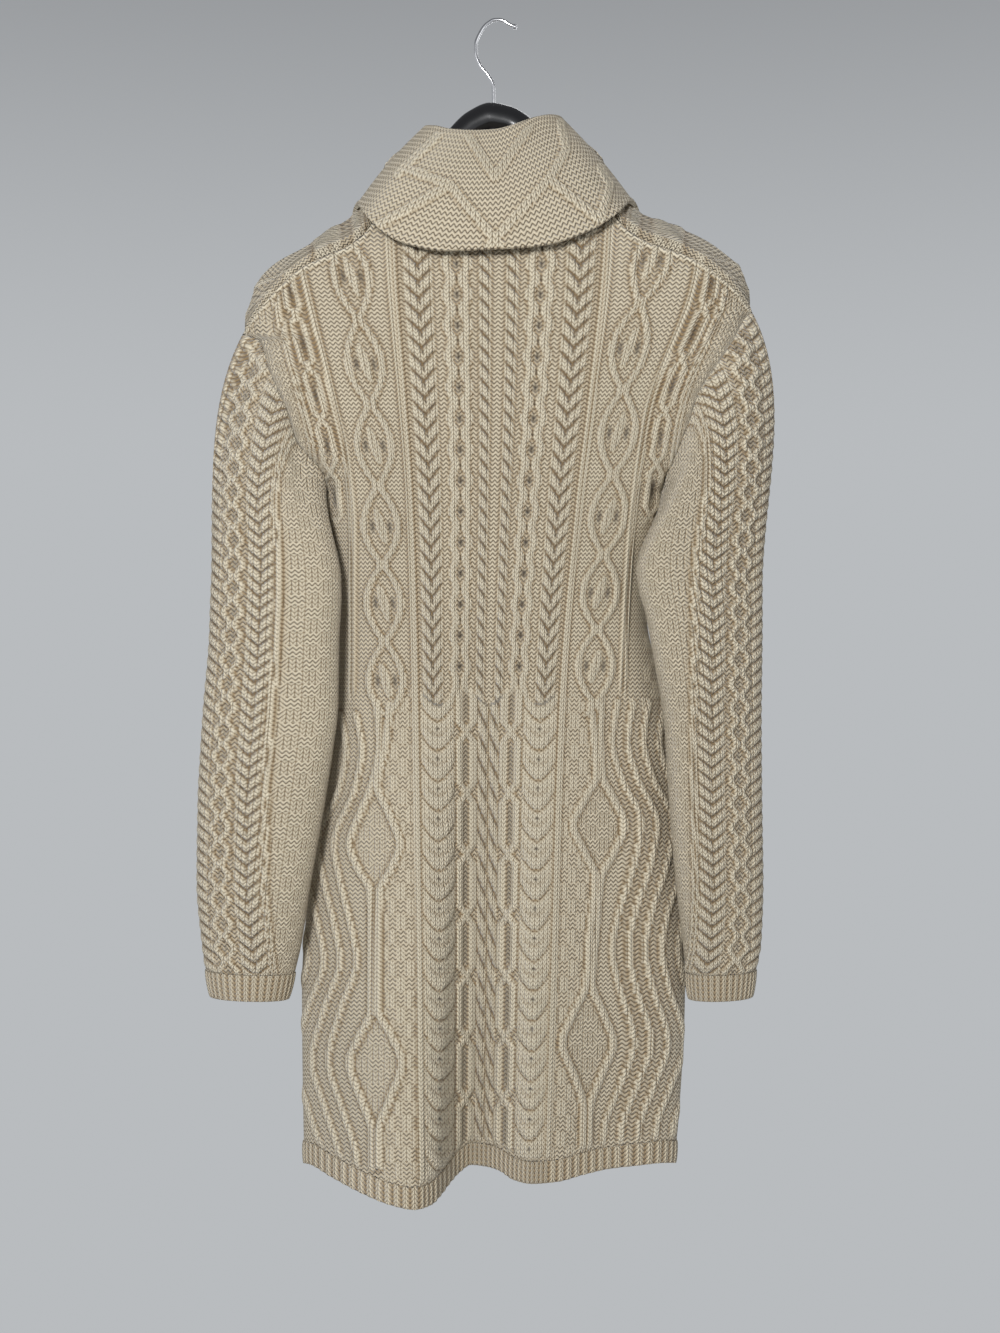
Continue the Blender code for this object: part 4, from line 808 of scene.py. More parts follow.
def stitch_group():
    """Loops of yarn: V stitches, purl bumps or moss, counted in wales and courses, with a mask of painted
    shade in the gaps between loops and in a rope's creases.
    """
    tree, given, result = new_group("knit_stitch", [
        ("Wale", "NodeSocketFloat", 0.0), ("Course", "NodeSocketFloat", 0.0),
        ("Purl", "NodeSocketFloat", 0.0), ("Moss", "NodeSocketFloat", 0.0),
        ("Rope", "NodeSocketFloat", 0.0), ("Turn", "NodeSocketFloat", 0.0)],
        [("Height", "NodeSocketFloat"), ("Gap shade", "NodeSocketFloat")])
    add = sums(tree)
    u, v = given["Wale"], given["Course"]
    a = add("ABSOLUTE", add("SUBTRACT", add("FRACT", u), 0.5))
    leg = add("DIVIDE", add("SUBTRACT", a, 0.28), 0.28)
    leg = add("SUBTRACT", 1.0, add("MULTIPLY", leg, leg))
    y = add("SUBTRACT", add("MULTIPLY", add("FRACT", add("SUBTRACT", v, add("MULTIPLY", a, 1.3))), 2.0), 1.0)
    lobe = add("SUBTRACT", 1.0, add("MULTIPLY", add("POWER", add("ABSOLUTE", y), 2.0), 0.75))
    plain = add("MULTIPLY", add("POWER", add("MAXIMUM", leg, 0.0), 0.7), lobe)
    wave = add("MULTIPLY", add("COSINE", add("MULTIPLY", u, 2 * math.pi)), 0.27)
    row = add("SUBTRACT", add("MULTIPLY", add("FRACT", add("ADD", v, wave)), 2.0), 1.0)
    purl = add("SUBTRACT", 1.0, add("POWER", add("ABSOLUTE", row), 2.0))
    patch = add("MULTIPLY", add("SINE", add("MULTIPLY", u, math.pi / 2.5)),
                add("SINE", add("MULTIPLY", v, math.pi / 3)))
    patch = add("MULTIPLY", add("MULTIPLY_ADD", patch, 5.0, 0.3, clamp=True), given["Moss"])
    backs = add("SUBTRACT", given["Purl"], add("MULTIPLY", given["Moss"], given["Purl"]))
    height = mixed(tree, add("MAXIMUM", patch, backs), plain, purl)
    roll = add("ABSOLUTE", add("SINE", add("MULTIPLY", given["Turn"], math.pi)))
    crease = add("MULTIPLY", add("POWER", add("SUBTRACT", 1.0, roll), 2.0), given["Rope"])
    tree.links.new(add("MULTIPLY_ADD", crease, -1.5, height), result["Height"])
    # Painted shade: this mask darkens the wool where the loops dip, and in the creases between a rope's
    # rolls.
    gap_shade = add("MULTIPLY", add("SUBTRACT", 0.56, height, clamp=True), 2.3, clamp=True)
    gap_shade = add("MULTIPLY_ADD", crease, 0.80, gap_shade, clamp=True)
    tree.links.new(gap_shade, result["Gap shade"])
    return tree


def tone_group():
    """Colour of the wool: painted shade in the gaps between loops, in the hollows and in the holes, tone
    uneven from place to place, with stray fibres.
    """
    tree, given, result = new_group("wool_tone", [
        ("Place", "NodeSocketVector", None), ("Gap shade", "NodeSocketFloat", 0.0),
        ("Hole", "NodeSocketFloat", 0.0),
        ("Open shade", "NodeSocketFloat", 0.0), ("Hollow shade", "NodeSocketFloat", 0.0)],
        [("Tone", "NodeSocketFloat"), ("Shade", "NodeSocketFloat"), ("Deep shade", "NodeSocketFloat"),
         ("Fuzz", "NodeSocketFloat")])
    add = sums(tree)

    def noise(scale, detail):
        node = tree.nodes.new("ShaderNodeTexNoise")
        node.inputs["Scale"].default_value, node.inputs["Detail"].default_value = scale, detail
        tree.links.new(given["Place"], node.inputs["Vector"])
        return node.outputs["Fac"]

    cloud, fuzz = noise(9.0, 1.0), noise(900.0, 2.0)
    tone = add("ADD", add("MULTIPLY_ADD", cloud, 0.12, 0.94), add("MULTIPLY_ADD", fuzz, 0.24, -0.12))
    tree.links.new(tone, result["Tone"])
    # Painted shade in the gaps between loops and in the hollows beside the strands.
    shade = add("MULTIPLY_ADD", given["Gap shade"], 0.90, add("MULTIPLY", given["Hollow shade"], 0.95), clamp=True)
    tree.links.new(shade, result["Shade"])
    # Painted deep shade in holes and between open stitches; the wall is not cut through.
    between = add("MULTIPLY", given["Gap shade"], add("MAXIMUM", given["Open shade"], 0.20))
    deep_shade = add("MAXIMUM", given["Hole"], between, clamp=True)
    tree.links.new(deep_shade, result["Deep shade"])
    tree.links.new(fuzz, result["Fuzz"])
    return tree


def wool(name, colour, groups, depth):
    """Knitted wool, its stitches counted by the stitch map."""
    material = bpy.data.materials.new(name)
    material.use_nodes = True
    tree = material.node_tree
    shader = tree.nodes["Principled BSDF"]
    shader.inputs["Roughness"].default_value = 0.92
    shader.inputs["Specular IOR Level"].default_value = 0.18
    shader.inputs["Sheen Weight"].default_value = 0.25
    shader.inputs["Sheen Roughness"].default_value = 0.45
    counted = tree.nodes.new("ShaderNodeUVMap")
    counted.uv_map = "stitch"
    split = tree.nodes.new("ShaderNodeSeparateXYZ")
    tree.links.new(counted.outputs["UV"], split.inputs[0])
    marks = {}
    for key in ("purl", "moss", "hole", "open", "low", "rope", "turn"):
        node = tree.nodes.new("ShaderNodeAttribute")
        node.attribute_name = key
        marks[key] = node.outputs["Fac"]
    stitch, tone = (tree.nodes.new("ShaderNodeGroup") for _ in range(2))
    stitch.node_tree, tone.node_tree = groups
    place = tree.nodes.new("ShaderNodeTexCoord")
    for source, target in ((split.outputs[0], stitch.inputs["Wale"]),
                           (split.outputs[1], stitch.inputs["Course"]),
                           (marks["purl"], stitch.inputs["Purl"]), (marks["moss"], stitch.inputs["Moss"]),
                           (marks["rope"], stitch.inputs["Rope"]), (marks["turn"], stitch.inputs["Turn"]),
                           (place.outputs["Object"], tone.inputs["Place"]),
                           (stitch.outputs["Gap shade"], tone.inputs["Gap shade"]),
                           (marks["hole"], tone.inputs["Hole"]), (marks["open"], tone.inputs["Open shade"]),
                           (marks["low"], tone.inputs["Hollow shade"])):
        tree.links.new(source, target)
    shade = tree.nodes.new("ShaderNodeVectorMath")
    shade.operation = "SCALE"
    shade.inputs[0].default_value = colour
    tree.links.new(tone.outputs["Tone"], shade.inputs["Scale"])
    before = shade.outputs[0]
    # Painted shade: the colour is mixed towards brown by the shade mask and towards near-black in holes and
    # open gaps.
    for mark, tint in (("Shade", (0.27, 0.185, 0.095, 1.0)), ("Deep shade", (0.075, 0.055, 0.035, 1.0))):
        deep = tree.nodes.new("ShaderNodeMix")
        deep.data_type = "RGBA"
        tree.links.new(tone.outputs[mark], deep.inputs["Factor"])
        tree.links.new(before, deep.inputs["A"])
        deep.inputs["B"].default_value = tint
        before = deep.outputs["Result"]
    tree.links.new(before, shader.inputs["Base Color"])
    both = tree.nodes.new("ShaderNodeMath")
    both.operation = "MULTIPLY_ADD"
    both.inputs[1].default_value = 0.22
    tree.links.new(tone.outputs["Fuzz"], both.inputs[0])
    tree.links.new(stitch.outputs["Height"], both.inputs[2])
    loops = tree.nodes.new("ShaderNodeBump")
    loops.inputs["Distance"].default_value = depth
    loops.inputs["Strength"].default_value = 0.9
    tree.links.new(both.outputs[0], loops.inputs["Height"])
    tree.links.new(loops.outputs["Normal"], shader.inputs["Normal"])
    return material


def wear_group():
    """Fine rubs and dust for hard pieces: a roughness change and a bump height."""
    tree, given, result = new_group("fine_wear", [
        ("Place", "NodeSocketVector", None), ("Scale", "NodeSocketFloat", 300.0),
        ("Rough", "NodeSocketFloat", 0.2), ("Spread", "NodeSocketFloat", 0.1)],
        [("Roughness", "NodeSocketFloat"), ("Height", "NodeSocketFloat")])
    node = tree.nodes.new("ShaderNodeTexNoise")
    node.inputs["Detail"].default_value = 4.0
    tree.links.new(given["Place"], node.inputs["Vector"])
    tree.links.new(given["Scale"], node.inputs["Scale"])
    add = sums(tree)
    swing = add("MULTIPLY", add("SUBTRACT", node.outputs["Fac"], 0.5), given["Spread"])
    tree.links.new(add("ADD", given["Rough"], swing, clamp=True), result["Roughness"])
    tree.links.new(node.outputs["Fac"], result["Height"])
    return tree


def hard(name, colour, metal, rough, scale, group, clear=0.0):
    """A hard finish with fine wear."""
    material = bpy.data.materials.new(name)
    material.use_nodes = True
    tree = material.node_tree
    shader = tree.nodes["Principled BSDF"]
    shader.inputs["Base Color"].default_value = (*colour, 1.0)
    shader.inputs["Metallic"].default_value = metal
    shader.inputs["Coat Weight"].default_value = clear
    wear = tree.nodes.new("ShaderNodeGroup")
    wear.node_tree = group
    wear.inputs["Scale"].default_value = scale
    wear.inputs["Rough"].default_value = rough
    wear.inputs["Spread"].default_value = 0.14
    place = tree.nodes.new("ShaderNodeTexCoord")
    tree.links.new(place.outputs["Object"], wear.inputs["Place"])
    tree.links.new(wear.outputs["Roughness"], shader.inputs["Roughness"])
    bump = tree.nodes.new("ShaderNodeBump")
    bump.inputs["Distance"].default_value = 0.0001
    bump.inputs["Strength"].default_value = 0.2
    tree.links.new(wear.outputs["Height"], bump.inputs["Height"])
    tree.links.new(bump.outputs["Normal"], shader.inputs["Normal"])
    return material


LOOKS = {}


def looks(settings):
    """The materials, made once."""
    if not LOOKS:
        groups = (stitch_group(), tone_group())
        wear = wear_group()
        LOOKS["wool"] = wool("cream_wool", settings.wool_colour, groups, settings.stitch_depth)
        LOOKS["rib"] = wool("ribbed_wool", settings.rib_colour, groups, settings.stitch_depth)
        LOOKS["button"] = hard("horn_button", (0.30, 0.20, 0.11), 0.0, 0.35, 160.0, wear, 0.3)
        LOOKS["hanger"] = hard("gloss_black", (0.010, 0.010, 0.011), 0.0, 0.20, 90.0, wear, 0.5)
        LOOKS["hook"] = hard("polished_wire", (0.76, 0.76, 0.78), 1.0, 0.18, 500.0, wear)
        LOOKS["wall"] = hard("pale_wall", tuple(settings.wall_colour), 0.0, 0.85, 6.0, wear)
    return LOOKS


# Pieces


def seen_at(points):
    """Table place, across and down, at which a point is seen."""
    near = (points[..., 1] - EYE_Y) / -EYE_Y
    across = HANG_ACROSS + ((points[..., 0] - EYE_X) / near + EYE_X) / STEP
    down = HANG_DOWN - ((points[..., 2] - EYE_Z) / near + EYE_Z) / STEP
    return across, down


def run_length(points):
    """Length along each column of a grid, from its first row."""
    steps = np.linalg.norm(np.diff(points, axis=0), axis=-1)
    return np.concatenate([np.zeros((1, points.shape[1])), np.cumsum(steps, axis=0)])


def done(item, node):
    """Ties a finished knitted piece to the solid that it stands for."""
    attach(item, BODY)
    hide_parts(node)


def knit_back(settings):
    half = np.concatenate([np.linspace(0, INNER_AT, 51)[:-1], np.linspace(INNER_AT, OUTER_AT, 37)[:-1],
                           np.linspace(OUTER_AT, 1, 33)])
    columns = np.concatenate([-half[:0:-1], half])
    t = np.concatenate([np.linspace(0, 1, 105)[:-1], np.linspace(1, 2, 285)])
    q, rows = np.meshgrid(columns, t)
    base = back_base(q, rows)
    across, down = grid_place(q, rows)
    height, purl, moss, hole, ropes, turn = back_chart(across, down)
    normals = grid_normals(base, -1)
    start = back_start(columns)[None, :]
    seam = ridge((down - start) - 3.0, 6.0) * (np.abs(q) > 0.30)
    fresh = ease(5, 9, down - start) * (1 - ease(1.985, 2.0, t))[:, None]
    height = np.maximum(height * fresh, seam * 0.45) * ease(0, 0.05, 1 - np.abs(q))
    hole, ropes = hole * fresh, ropes * fresh
    # Holes dent the wall a little; the wool material paints them with dark shade.
    outer = base + normals * (height * settings.cable_height - hole * 0.0012)[..., None]
    h = np.abs(across - MID_ACROSS(down)) / MID_HALF(down)
    wales = np.where(h < 1, h * 16, 16 + (np.abs(q) - INNER_AT) * 48) * np.sign(q)
    # Painted shade between the open stitches over the shoulders, on a closed wall.
    shoulder = np.exp(-np.maximum(down - start, 0) / 22.0) * (np.abs(q) > 0.42) * 0.55
    item = cloth("back_knit", outer, base - normals * WALL, (4, 4),
                 {"rise": height, "purl": purl, "moss": moss, "hole": hole, "open": shoulder, "rope": ropes,
                   "turn": turn}, (wales, down / COURSE), looks(settings)["wool"])
    done(item, "back")


def knit_front(side, settings):
    p = np.linspace(0, 1, 101)
    t = np.concatenate([np.linspace(0, 0.22, 60)[:-1], np.linspace(0.22, 1, 60)[:-1], np.linspace(1, 2, 130)])
    q, rows = np.meshgrid(p, t)
    base = front_base(side, q, rows)
    across, down = seen_at(base)
    normals = grid_normals(base, -side)
    x = q * 190.0
    seen = np.stack([across, down, 0 * down], axis=-1) * STEP
    length = np.where(rows < 0.1, run_length(seen), run_length(base)) / STEP
    gained = (run_length(seen) - run_length(base))[rows[:, 0] < 0.1][-1] / STEP
    length = length + np.where(rows < 0.1, 0, gained) + 200.0
    wide = run_length(base.transpose(1, 0, 2)).T / (WALE * STEP)
    yoke = linked(wide * WALE - 62, length, 15.0, 64.0, 8.0) * 0.45 * (rows < 0.14)
    height = np.maximum.reduce([
        yoke, rope(x - 168, length, 12.0, 16.0), paired(x - 142, length, 3.0, 10.0, 31.0, 8.0),
        np.maximum(ridge(x - 118, 3.6), ridge(x - 122, 3.6)) * 0.8,
        paired(x - 92, length, 1.5, 16.0, 80.0, 7.6),
        np.maximum(ridge(x - 64, 3.6), ridge(x - 68, 3.6)) * 0.8, rope(x - 50, length, 12.0, 16.0)])
    moss = (x < 40).astype(float) * (rows > 0.2)
    fresh = ease(0, 0.02, rows) * ease(0, 2, x)
    outer = base + normals * (height * fresh * settings.cable_height)[..., None]
    # Painted shade between the open stitches near the top of the front, on a closed wall.
    open_stitch_shade = 1 - ease(0.10, 0.30, rows)
    name = "left" if side < 0 else "right"
    item = cloth(f"front_{name}_knit", outer, base - normals * WALL, (4, 4),
                 {"rise": height, "purl": np.clip(1 - 2.2 * height, 0, 1), "moss": moss * (height < 0.2),
                  "hole": 0 * moss, "open": open_stitch_shade}, (wide, length / COURSE), looks(settings)["wool"])
    done(item, f"front_{name}")


def arm_line(side, angle):
    """Points of the armhole at these angles of the sleeve."""
    back = back_base(np.full(angle.shape, float(side)), np.clip(angle / math.pi, 0, 1))
    front = front_base(side, np.zeros(angle.shape), np.clip(2 - angle / math.pi, 0, 1))
    return np.where((angle <= math.pi)[:, None], back, front)


def knit_sleeve(side, settings):
    count = 150
    angle = np.linspace(0, 2 * math.pi, count + 1)[:-1]
    start = arm_line(side, angle)
    t = np.concatenate([np.linspace(0, 1, 86)[:-1], np.linspace(1, 2, 201)])
    base = np.stack([sleeve_base(side, angle, value, start) for value in t])
    along_run = np.gradient(base, axis=0)
    around = (np.roll(base, -1, axis=1) - np.roll(base, 1, axis=1)) / 2
    normals = -side * unit(np.cross(along_run, around))
    across, down = seen_at(base)
    off = side * (SLEEVE[side][0](down) - across)
    off = off - off.min(axis=1, keepdims=True)
    height, purl, moss, hole, ropes, twist = sleeve_chart(off, down)
    fresh = ease(0.0, 0.03, t)[:, None] * ease(2.0, 2.0 - 0.01, t)[:, None]
    # Holes dent the wall a little; the wool material paints them with dark shade.
    outer = base + normals * (height * fresh * settings.cable_height - hole * fresh * 0.001)[..., None]
    name = "left" if side < 0 else "right"
    turn = 54.0
    wales = np.broadcast_to(angle / (2 * math.pi) * turn, down.shape)
    item = cloth(f"sleeve_{name}_knit", outer, base - normals * WALL, (4, 5),
                 {"rise": height, "purl": purl, "moss": moss, "hole": hole, "open": 0 * down,
                  "rope": ropes * fresh, "turn": twist},
                 (wales, down / COURSE), looks(settings)["wool"], True, turn)
    done(item, f"sleeve_{name}")
    ribs = 34
    angle = np.linspace(0, 2 * math.pi, 6 * ribs + 1)[:-1]
    t = np.linspace(2, 3, 12)
    base = np.stack([sleeve_base(side, angle, value, None) for value in t])
    around = np.roll(base, -1, axis=1) - np.roll(base, 1, axis=1)
    normals = unit(np.cross(np.gradient(base, axis=0), around) * -side * LEVEL)
    wave = np.cos(angle * ribs)[None, :] * 0.5 + 0.5
    roll = ridge(np.linspace(-0.5, 0.5, 12)[:, None], 1.12, 0.4)
    outer = base + normals * (wave * RIB_HIGH * RIB_RISE * roll)[..., None]
    turn = 2.0 * ribs
    item = cloth(f"cuff_{name}_knit", outer, base - normals * WALL, (11, 6),
                 rib_marks(wave),
                 (np.broadcast_to(angle / (2 * math.pi) * turn + 0.5, base.shape[:2]),
                  (HANG_DOWN - base[..., 2] / STEP) / COURSE), looks(settings)["rib"], True, turn)
    done(item, f"cuff_{name}")


def rib_marks(wave):
    """The chart of a ribbed edge whose ribs follow this wave."""
    plain = 0 * wave
    return {"rise": 1.1 * wave - 0.2, "purl": np.clip(1.2 - 2 * wave, 0, 1), "moss": plain, "hole": plain,
            "open": plain}


def knit_edges(settings):
    ribs = 62
    columns, t = np.linspace(-1, 1, 6 * ribs + 1), np.linspace(2, 3, 12)
    q, rows = np.meshgrid(columns, t)
    base = back_base(q, rows)
    normals = unit(grid_normals(base, -1) * LEVEL)
    wave = np.cos((columns + 1) * ribs * math.pi)[None, :] * 0.5 + 0.5
    roll = ridge(np.linspace(-0.5, 0.5, 12)[:, None], 1.12, 0.4)
    outer = base + normals * (wave * RIB_HIGH * RIB_RISE * roll)[..., None]
    item = cloth("hem_back_rib", outer, base - normals * WALL, (11, 6), rib_marks(wave),
                 ((q + 1) * ribs + 0.5, (HANG_DOWN - base[..., 2] / STEP) / COURSE), looks(settings)["rib"])
    done(item, "hem_back")
    for side, name in ((-1, "left"), (1, "right")):
        ribs = 26
        p, rows = np.meshgrid(np.linspace(0, 1, 6 * ribs + 1), t)
        base = front_base(side, p, rows)
        normals = unit(grid_normals(base, -side) * LEVEL)
        wave = np.cos(p * ribs * 2 * math.pi) * 0.5 + 0.5
        outer = base + normals * (wave * RIB_HIGH * RIB_RISE * roll)[..., None]
        item = cloth(f"hem_front_{name}_rib", outer, base - normals * WALL, (11, 6), rib_marks(wave),
                     (p * ribs * 2 + 0.5, (HANG_DOWN - base[..., 2] / STEP) / COURSE), looks(settings)["rib"])
        done(item, f"hem_front_{name}")
        w, s = np.meshgrid(np.linspace(0, 1, 31), np.linspace(0, 1, 160))
        left, right = FRONT_INNER[-1] + 0.4, FRONT_INNER[1] - 0.4
        down = 350 + (FRONT_HEM - 350) * s
        depth = MID_FRONT(down) + (BAND_STEP if side > 0 else 0.0)
        base = spot(left + (right - left) * w, down, depth, np.zeros(w.shape))
        normals = np.broadcast_to(np.array([0, 1.0, 0]), base.shape)
        wave = np.cos(w * 10 * math.pi) * 0.5 + 0.5
        outer = base + normals * (wave * 0.0012)[..., None]
        item = cloth(f"band_{name}_rib", outer, base - normals * WALL, (4, 10), rib_marks(wave),
                     (w * 10 + 0.5, down / COURSE), looks(settings)["rib"])
        done(item, f"band_{name}")


def knit_collar(settings):
    stations = np.arange(len(COLLAR), dtype=float)
    table = np.array([[v for point in row for v in point] for row in COLLAR])
    curves = [smooth_track(stations, table[:, c]) for c in range(9)]
    where = np.linspace(0, len(COLLAR) - 1, 361)
    seam, fold, edge = (spot(curves[3 * k](where), curves[3 * k + 1](where), curves[3 * k + 2](where))
                        for k in range(3))
    up = unit(fold - seam)
    out = unit((edge - fold) - np.sum((edge - fold) * up, axis=1, keepdims=True) * up)
    low_edge = edge - out * WALL
    centre = fold - up * (WALL + FOLD_RADIUS)
    shape, fall = [], []
    for s in np.linspace(0, 1, 21)[:-1]:
        shape.append(seam + (centre - out * FOLD_RADIUS - seam) * s)
        fall.append(-1 + s)
    for a in np.linspace(0, math.pi, 9)[:-1]:
        shape.append(centre - out * FOLD_RADIUS * math.cos(a) + up * FOLD_RADIUS * math.sin(a))
        fall.append(0.0)
    for s in np.linspace(0, 1, 61):
        shape.append(centre + out * FOLD_RADIUS + (low_edge - centre - out * FOLD_RADIUS) * s
                     + out * 0.003 * math.sin(math.pi * s))
        fall.append(s)
    hidden = np.stack(shape)
    fall = np.array(fall)[:, None] + 0 * where[None, :]
    run = unit(np.gradient(hidden, axis=0))
    face = unit(np.sum(run * out, axis=2, keepdims=True) * up - np.sum(run * up, axis=2, keepdims=True) * out)
    shown = hidden + face * WALL
    across, down = seen_at(shown)
    around = where[None, :] - 9 + 0 * fall
    band = collar_chart(across, down, around, fall, (shown[..., 1] < 0.004))
    band = band * ease(0.0, 0.06, fall) * (1 - ease(0.97, 1.0, fall))
    welt = ridge((fall - 0.975), 0.06) * 0.35
    outer = hidden + face * (WALL + np.maximum(band, welt) * settings.cable_height)[..., None]
    long = np.concatenate([[0], np.cumsum(np.linalg.norm(np.diff(hidden[-1], axis=0), axis=1))])
    tall = run_length(shown)
    # The open mark paints shade in the gaps between the collar's stitches.
    item = cloth("collar_knit", outer, hidden, (2, 4),
                 {"rise": band, "purl": np.clip(1 - 2.2 * band, 0, 1), "moss": 0 * band, "hole": 0 * band,
                  "open": 0.42 + 0 * band},
                 (np.broadcast_to(long / (COLLAR_WALE * STEP), band.shape), tall / (COLLAR_COURSE * STEP)),
                 looks(settings)["wool"])
    done(item, "collar")


def studio(settings):
    """A plain pale floor, a pale surround, three soft lights and the camera."""
    select_none()
    bpy.ops.mesh.primitive_circle_add(vertices=96, radius=3.4, fill_type="NGON", location=(0, 0, -2.4))
    floor = bpy.context.object
    floor.name = "studio_floor"
    floor.data.materials.append(looks(settings)["wall"])
    for name, place, aim, size, power in (
            ("key_light", (-0.5, -2.2, 0.0), (0, 0, -0.5), 0.5, settings.key_power),
            ("fill_light", (1.9, -2.1, 0.1), (0, 0, -0.5), 1.6, settings.fill_power),
            ("front_light", (0.6, 2.6, 0.6), (0, 0, -0.5), 1.6, settings.fill_power * 3)):
        light = bpy.data.lights.new(name, "AREA")
        light.shape, light.size, light.energy = "DISK", size, power
        item = bpy.data.objects.new(name, light)
        bpy.context.scene.collection.objects.link(item)
        item.location = place
        item.rotation_euler = (Vector(aim) - Vector(place)).to_track_quat("-Z", "Y").to_euler()
        item.visible_camera = False
    world = bpy.data.worlds.new("studio_world")
    world.use_nodes = True
    tree = world.node_tree
    way = tree.nodes.new("ShaderNodeTexCoord")
    split = tree.nodes.new("ShaderNodeSeparateXYZ")
    rise = tree.nodes.new("ShaderNodeMapRange")
    rise.interpolation_type = "SMOOTHSTEP"
    rise.inputs["From Min"].default_value, rise.inputs["From Max"].default_value = 0.10, 0.60
    blend = tree.nodes.new("ShaderNodeMix")
    blend.data_type = "RGBA"
    blend.inputs["A"].default_value = (0.484, 0.502, 0.520, 1.0)
    blend.inputs["B"].default_value = (0.16, 0.165, 0.175, 1.0)
    tree.links.new(way.outputs["Generated"], split.inputs["Vector"])
    tree.links.new(split.outputs["Z"], rise.inputs["Value"])
    tree.links.new(rise.outputs["Result"], blend.inputs["Factor"])
    tree.links.new(blend.outputs["Result"], tree.nodes["Background"].inputs["Color"])
    bpy.context.scene.world = world
    bpy.context.scene.view_settings.view_transform = "Standard"
    lens = bpy.data.cameras.new("camera")
    lens.sensor_width, lens.lens = 36.0, 47.66
    eye = bpy.data.objects.new("camera", lens)
    bpy.context.scene.collection.objects.link(eye)
    eye.location = (EYE_X, EYE_Y, EYE_Z)
    eye.rotation_euler = (math.pi / 2, 0, 0)
    bpy.context.scene.camera = eye


def select_none():
    if bpy.context.object and bpy.context.object.mode != "OBJECT":
        bpy.ops.object.mode_set(mode="OBJECT")
    bpy.ops.object.select_all(action="DESELECT")


def settle(item):
    """Leaves a modelled piece unrotated, unscaled, at the origin."""
    select_none()
    item.select_set(True)
    bpy.context.view_layer.objects.active = item
    bpy.ops.object.transform_apply(location=True, rotation=True, scale=True)


def sweep(name, line, radii, section):
    """A rod along a line: a curve with a rounded section, turned into a mesh with closed ends."""
    select_none()
    bpy.ops.curve.primitive_bezier_circle_add(radius=1.0)
    ring = bpy.context.object
    ring.scale = (section[0], section[1], 1.0)
    ring.data.resolution_u = 8
    settle(ring)
    select_none()
    bpy.ops.curve.primitive_nurbs_path_add()
    rod = bpy.context.object
    rod.name = name
    rod.data.splines.clear()
    spline = rod.data.splines.new("POLY")
    spline.points.add(len(line) - 1)
    for point, place, radius in zip(spline.points, line, radii):
        point.co, point.radius = (*place, 1.0), float(radius)
    rod.data.dimensions = "3D"
    rod.data.twist_mode = "MINIMUM"
    rod.data.bevel_mode = "OBJECT"
    rod.data.bevel_object = ring
    rod.data.use_fill_caps = True
    rod.location = (0, 0, 0)
    bpy.ops.object.convert(target="MESH")
    rod = bpy.context.object
    bpy.data.objects.remove(ring, do_unlink=True)
    select_none()
    rod.select_set(True)
    bpy.context.view_layer.objects.active = rod
    bpy.ops.object.mode_set(mode="EDIT")
    bpy.ops.mesh.select_all(action="SELECT")
    bpy.ops.mesh.remove_doubles(threshold=0.00002)
    bpy.ops.mesh.normals_make_consistent(inside=False)
    bpy.ops.object.mode_set(mode="OBJECT")
    settle(rod)
    bpy.ops.object.shade_smooth_by_angle(angle=math.radians(50))
    return rod


def round_rod(points, count):
    index = np.arange(len(points), dtype=float)
    at = np.linspace(0, len(points) - 1, count)
    return np.stack([smooth_track(index, points[:, c])(at) for c in range(points.shape[1])], axis=1)


def make_hanger(settings):
    table = round_rod(np.array(HANGER_ARCH), 97)
    line = spot(table[:, 0], table[:, 1], np.zeros(len(table)))
    run = unit(np.gradient(line, axis=0))
    below = np.stack([run[:, 2], 0 * run[:, 0], -run[:, 0]], axis=1)
    below = below * np.sign(-below[:, 2:3])
    high = table[:, 3]
    arch = sweep("hanger_arch_body", line + below * high[:, None], high / ARCH_HIGH, (ARCH_THICK, ARCH_HIGH))
    wire = np.array([spot(a, d, 0) for a, d in HOOK_WIRE])
    wire = round_rod(wire, 90)
    size = np.ones(len(wire))
    hook = sweep("hanger_hook_wire", wire, size, (WIRE_RADIUS, WIRE_RADIUS))
    select_none()
    bpy.ops.mesh.primitive_uv_sphere_add(segments=24, ring_count=14, radius=BALL_RADIUS,
                                         location=tuple(wire[-1]))
    ball = bpy.context.object
    bpy.ops.object.shade_smooth()
    settle(ball)
    select_none()
    ball.select_set(True)
    hook.select_set(True)
    bpy.context.view_layer.objects.active = hook
    bpy.ops.object.join()
    for item, node in ((arch, "hanger_arch"), (hook, "hanger_hook")):
        item.data.materials.clear()
        item.data.materials.append(looks(settings)["hanger" if item is arch else "hook"])
        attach(item, BODY)
        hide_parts(node)


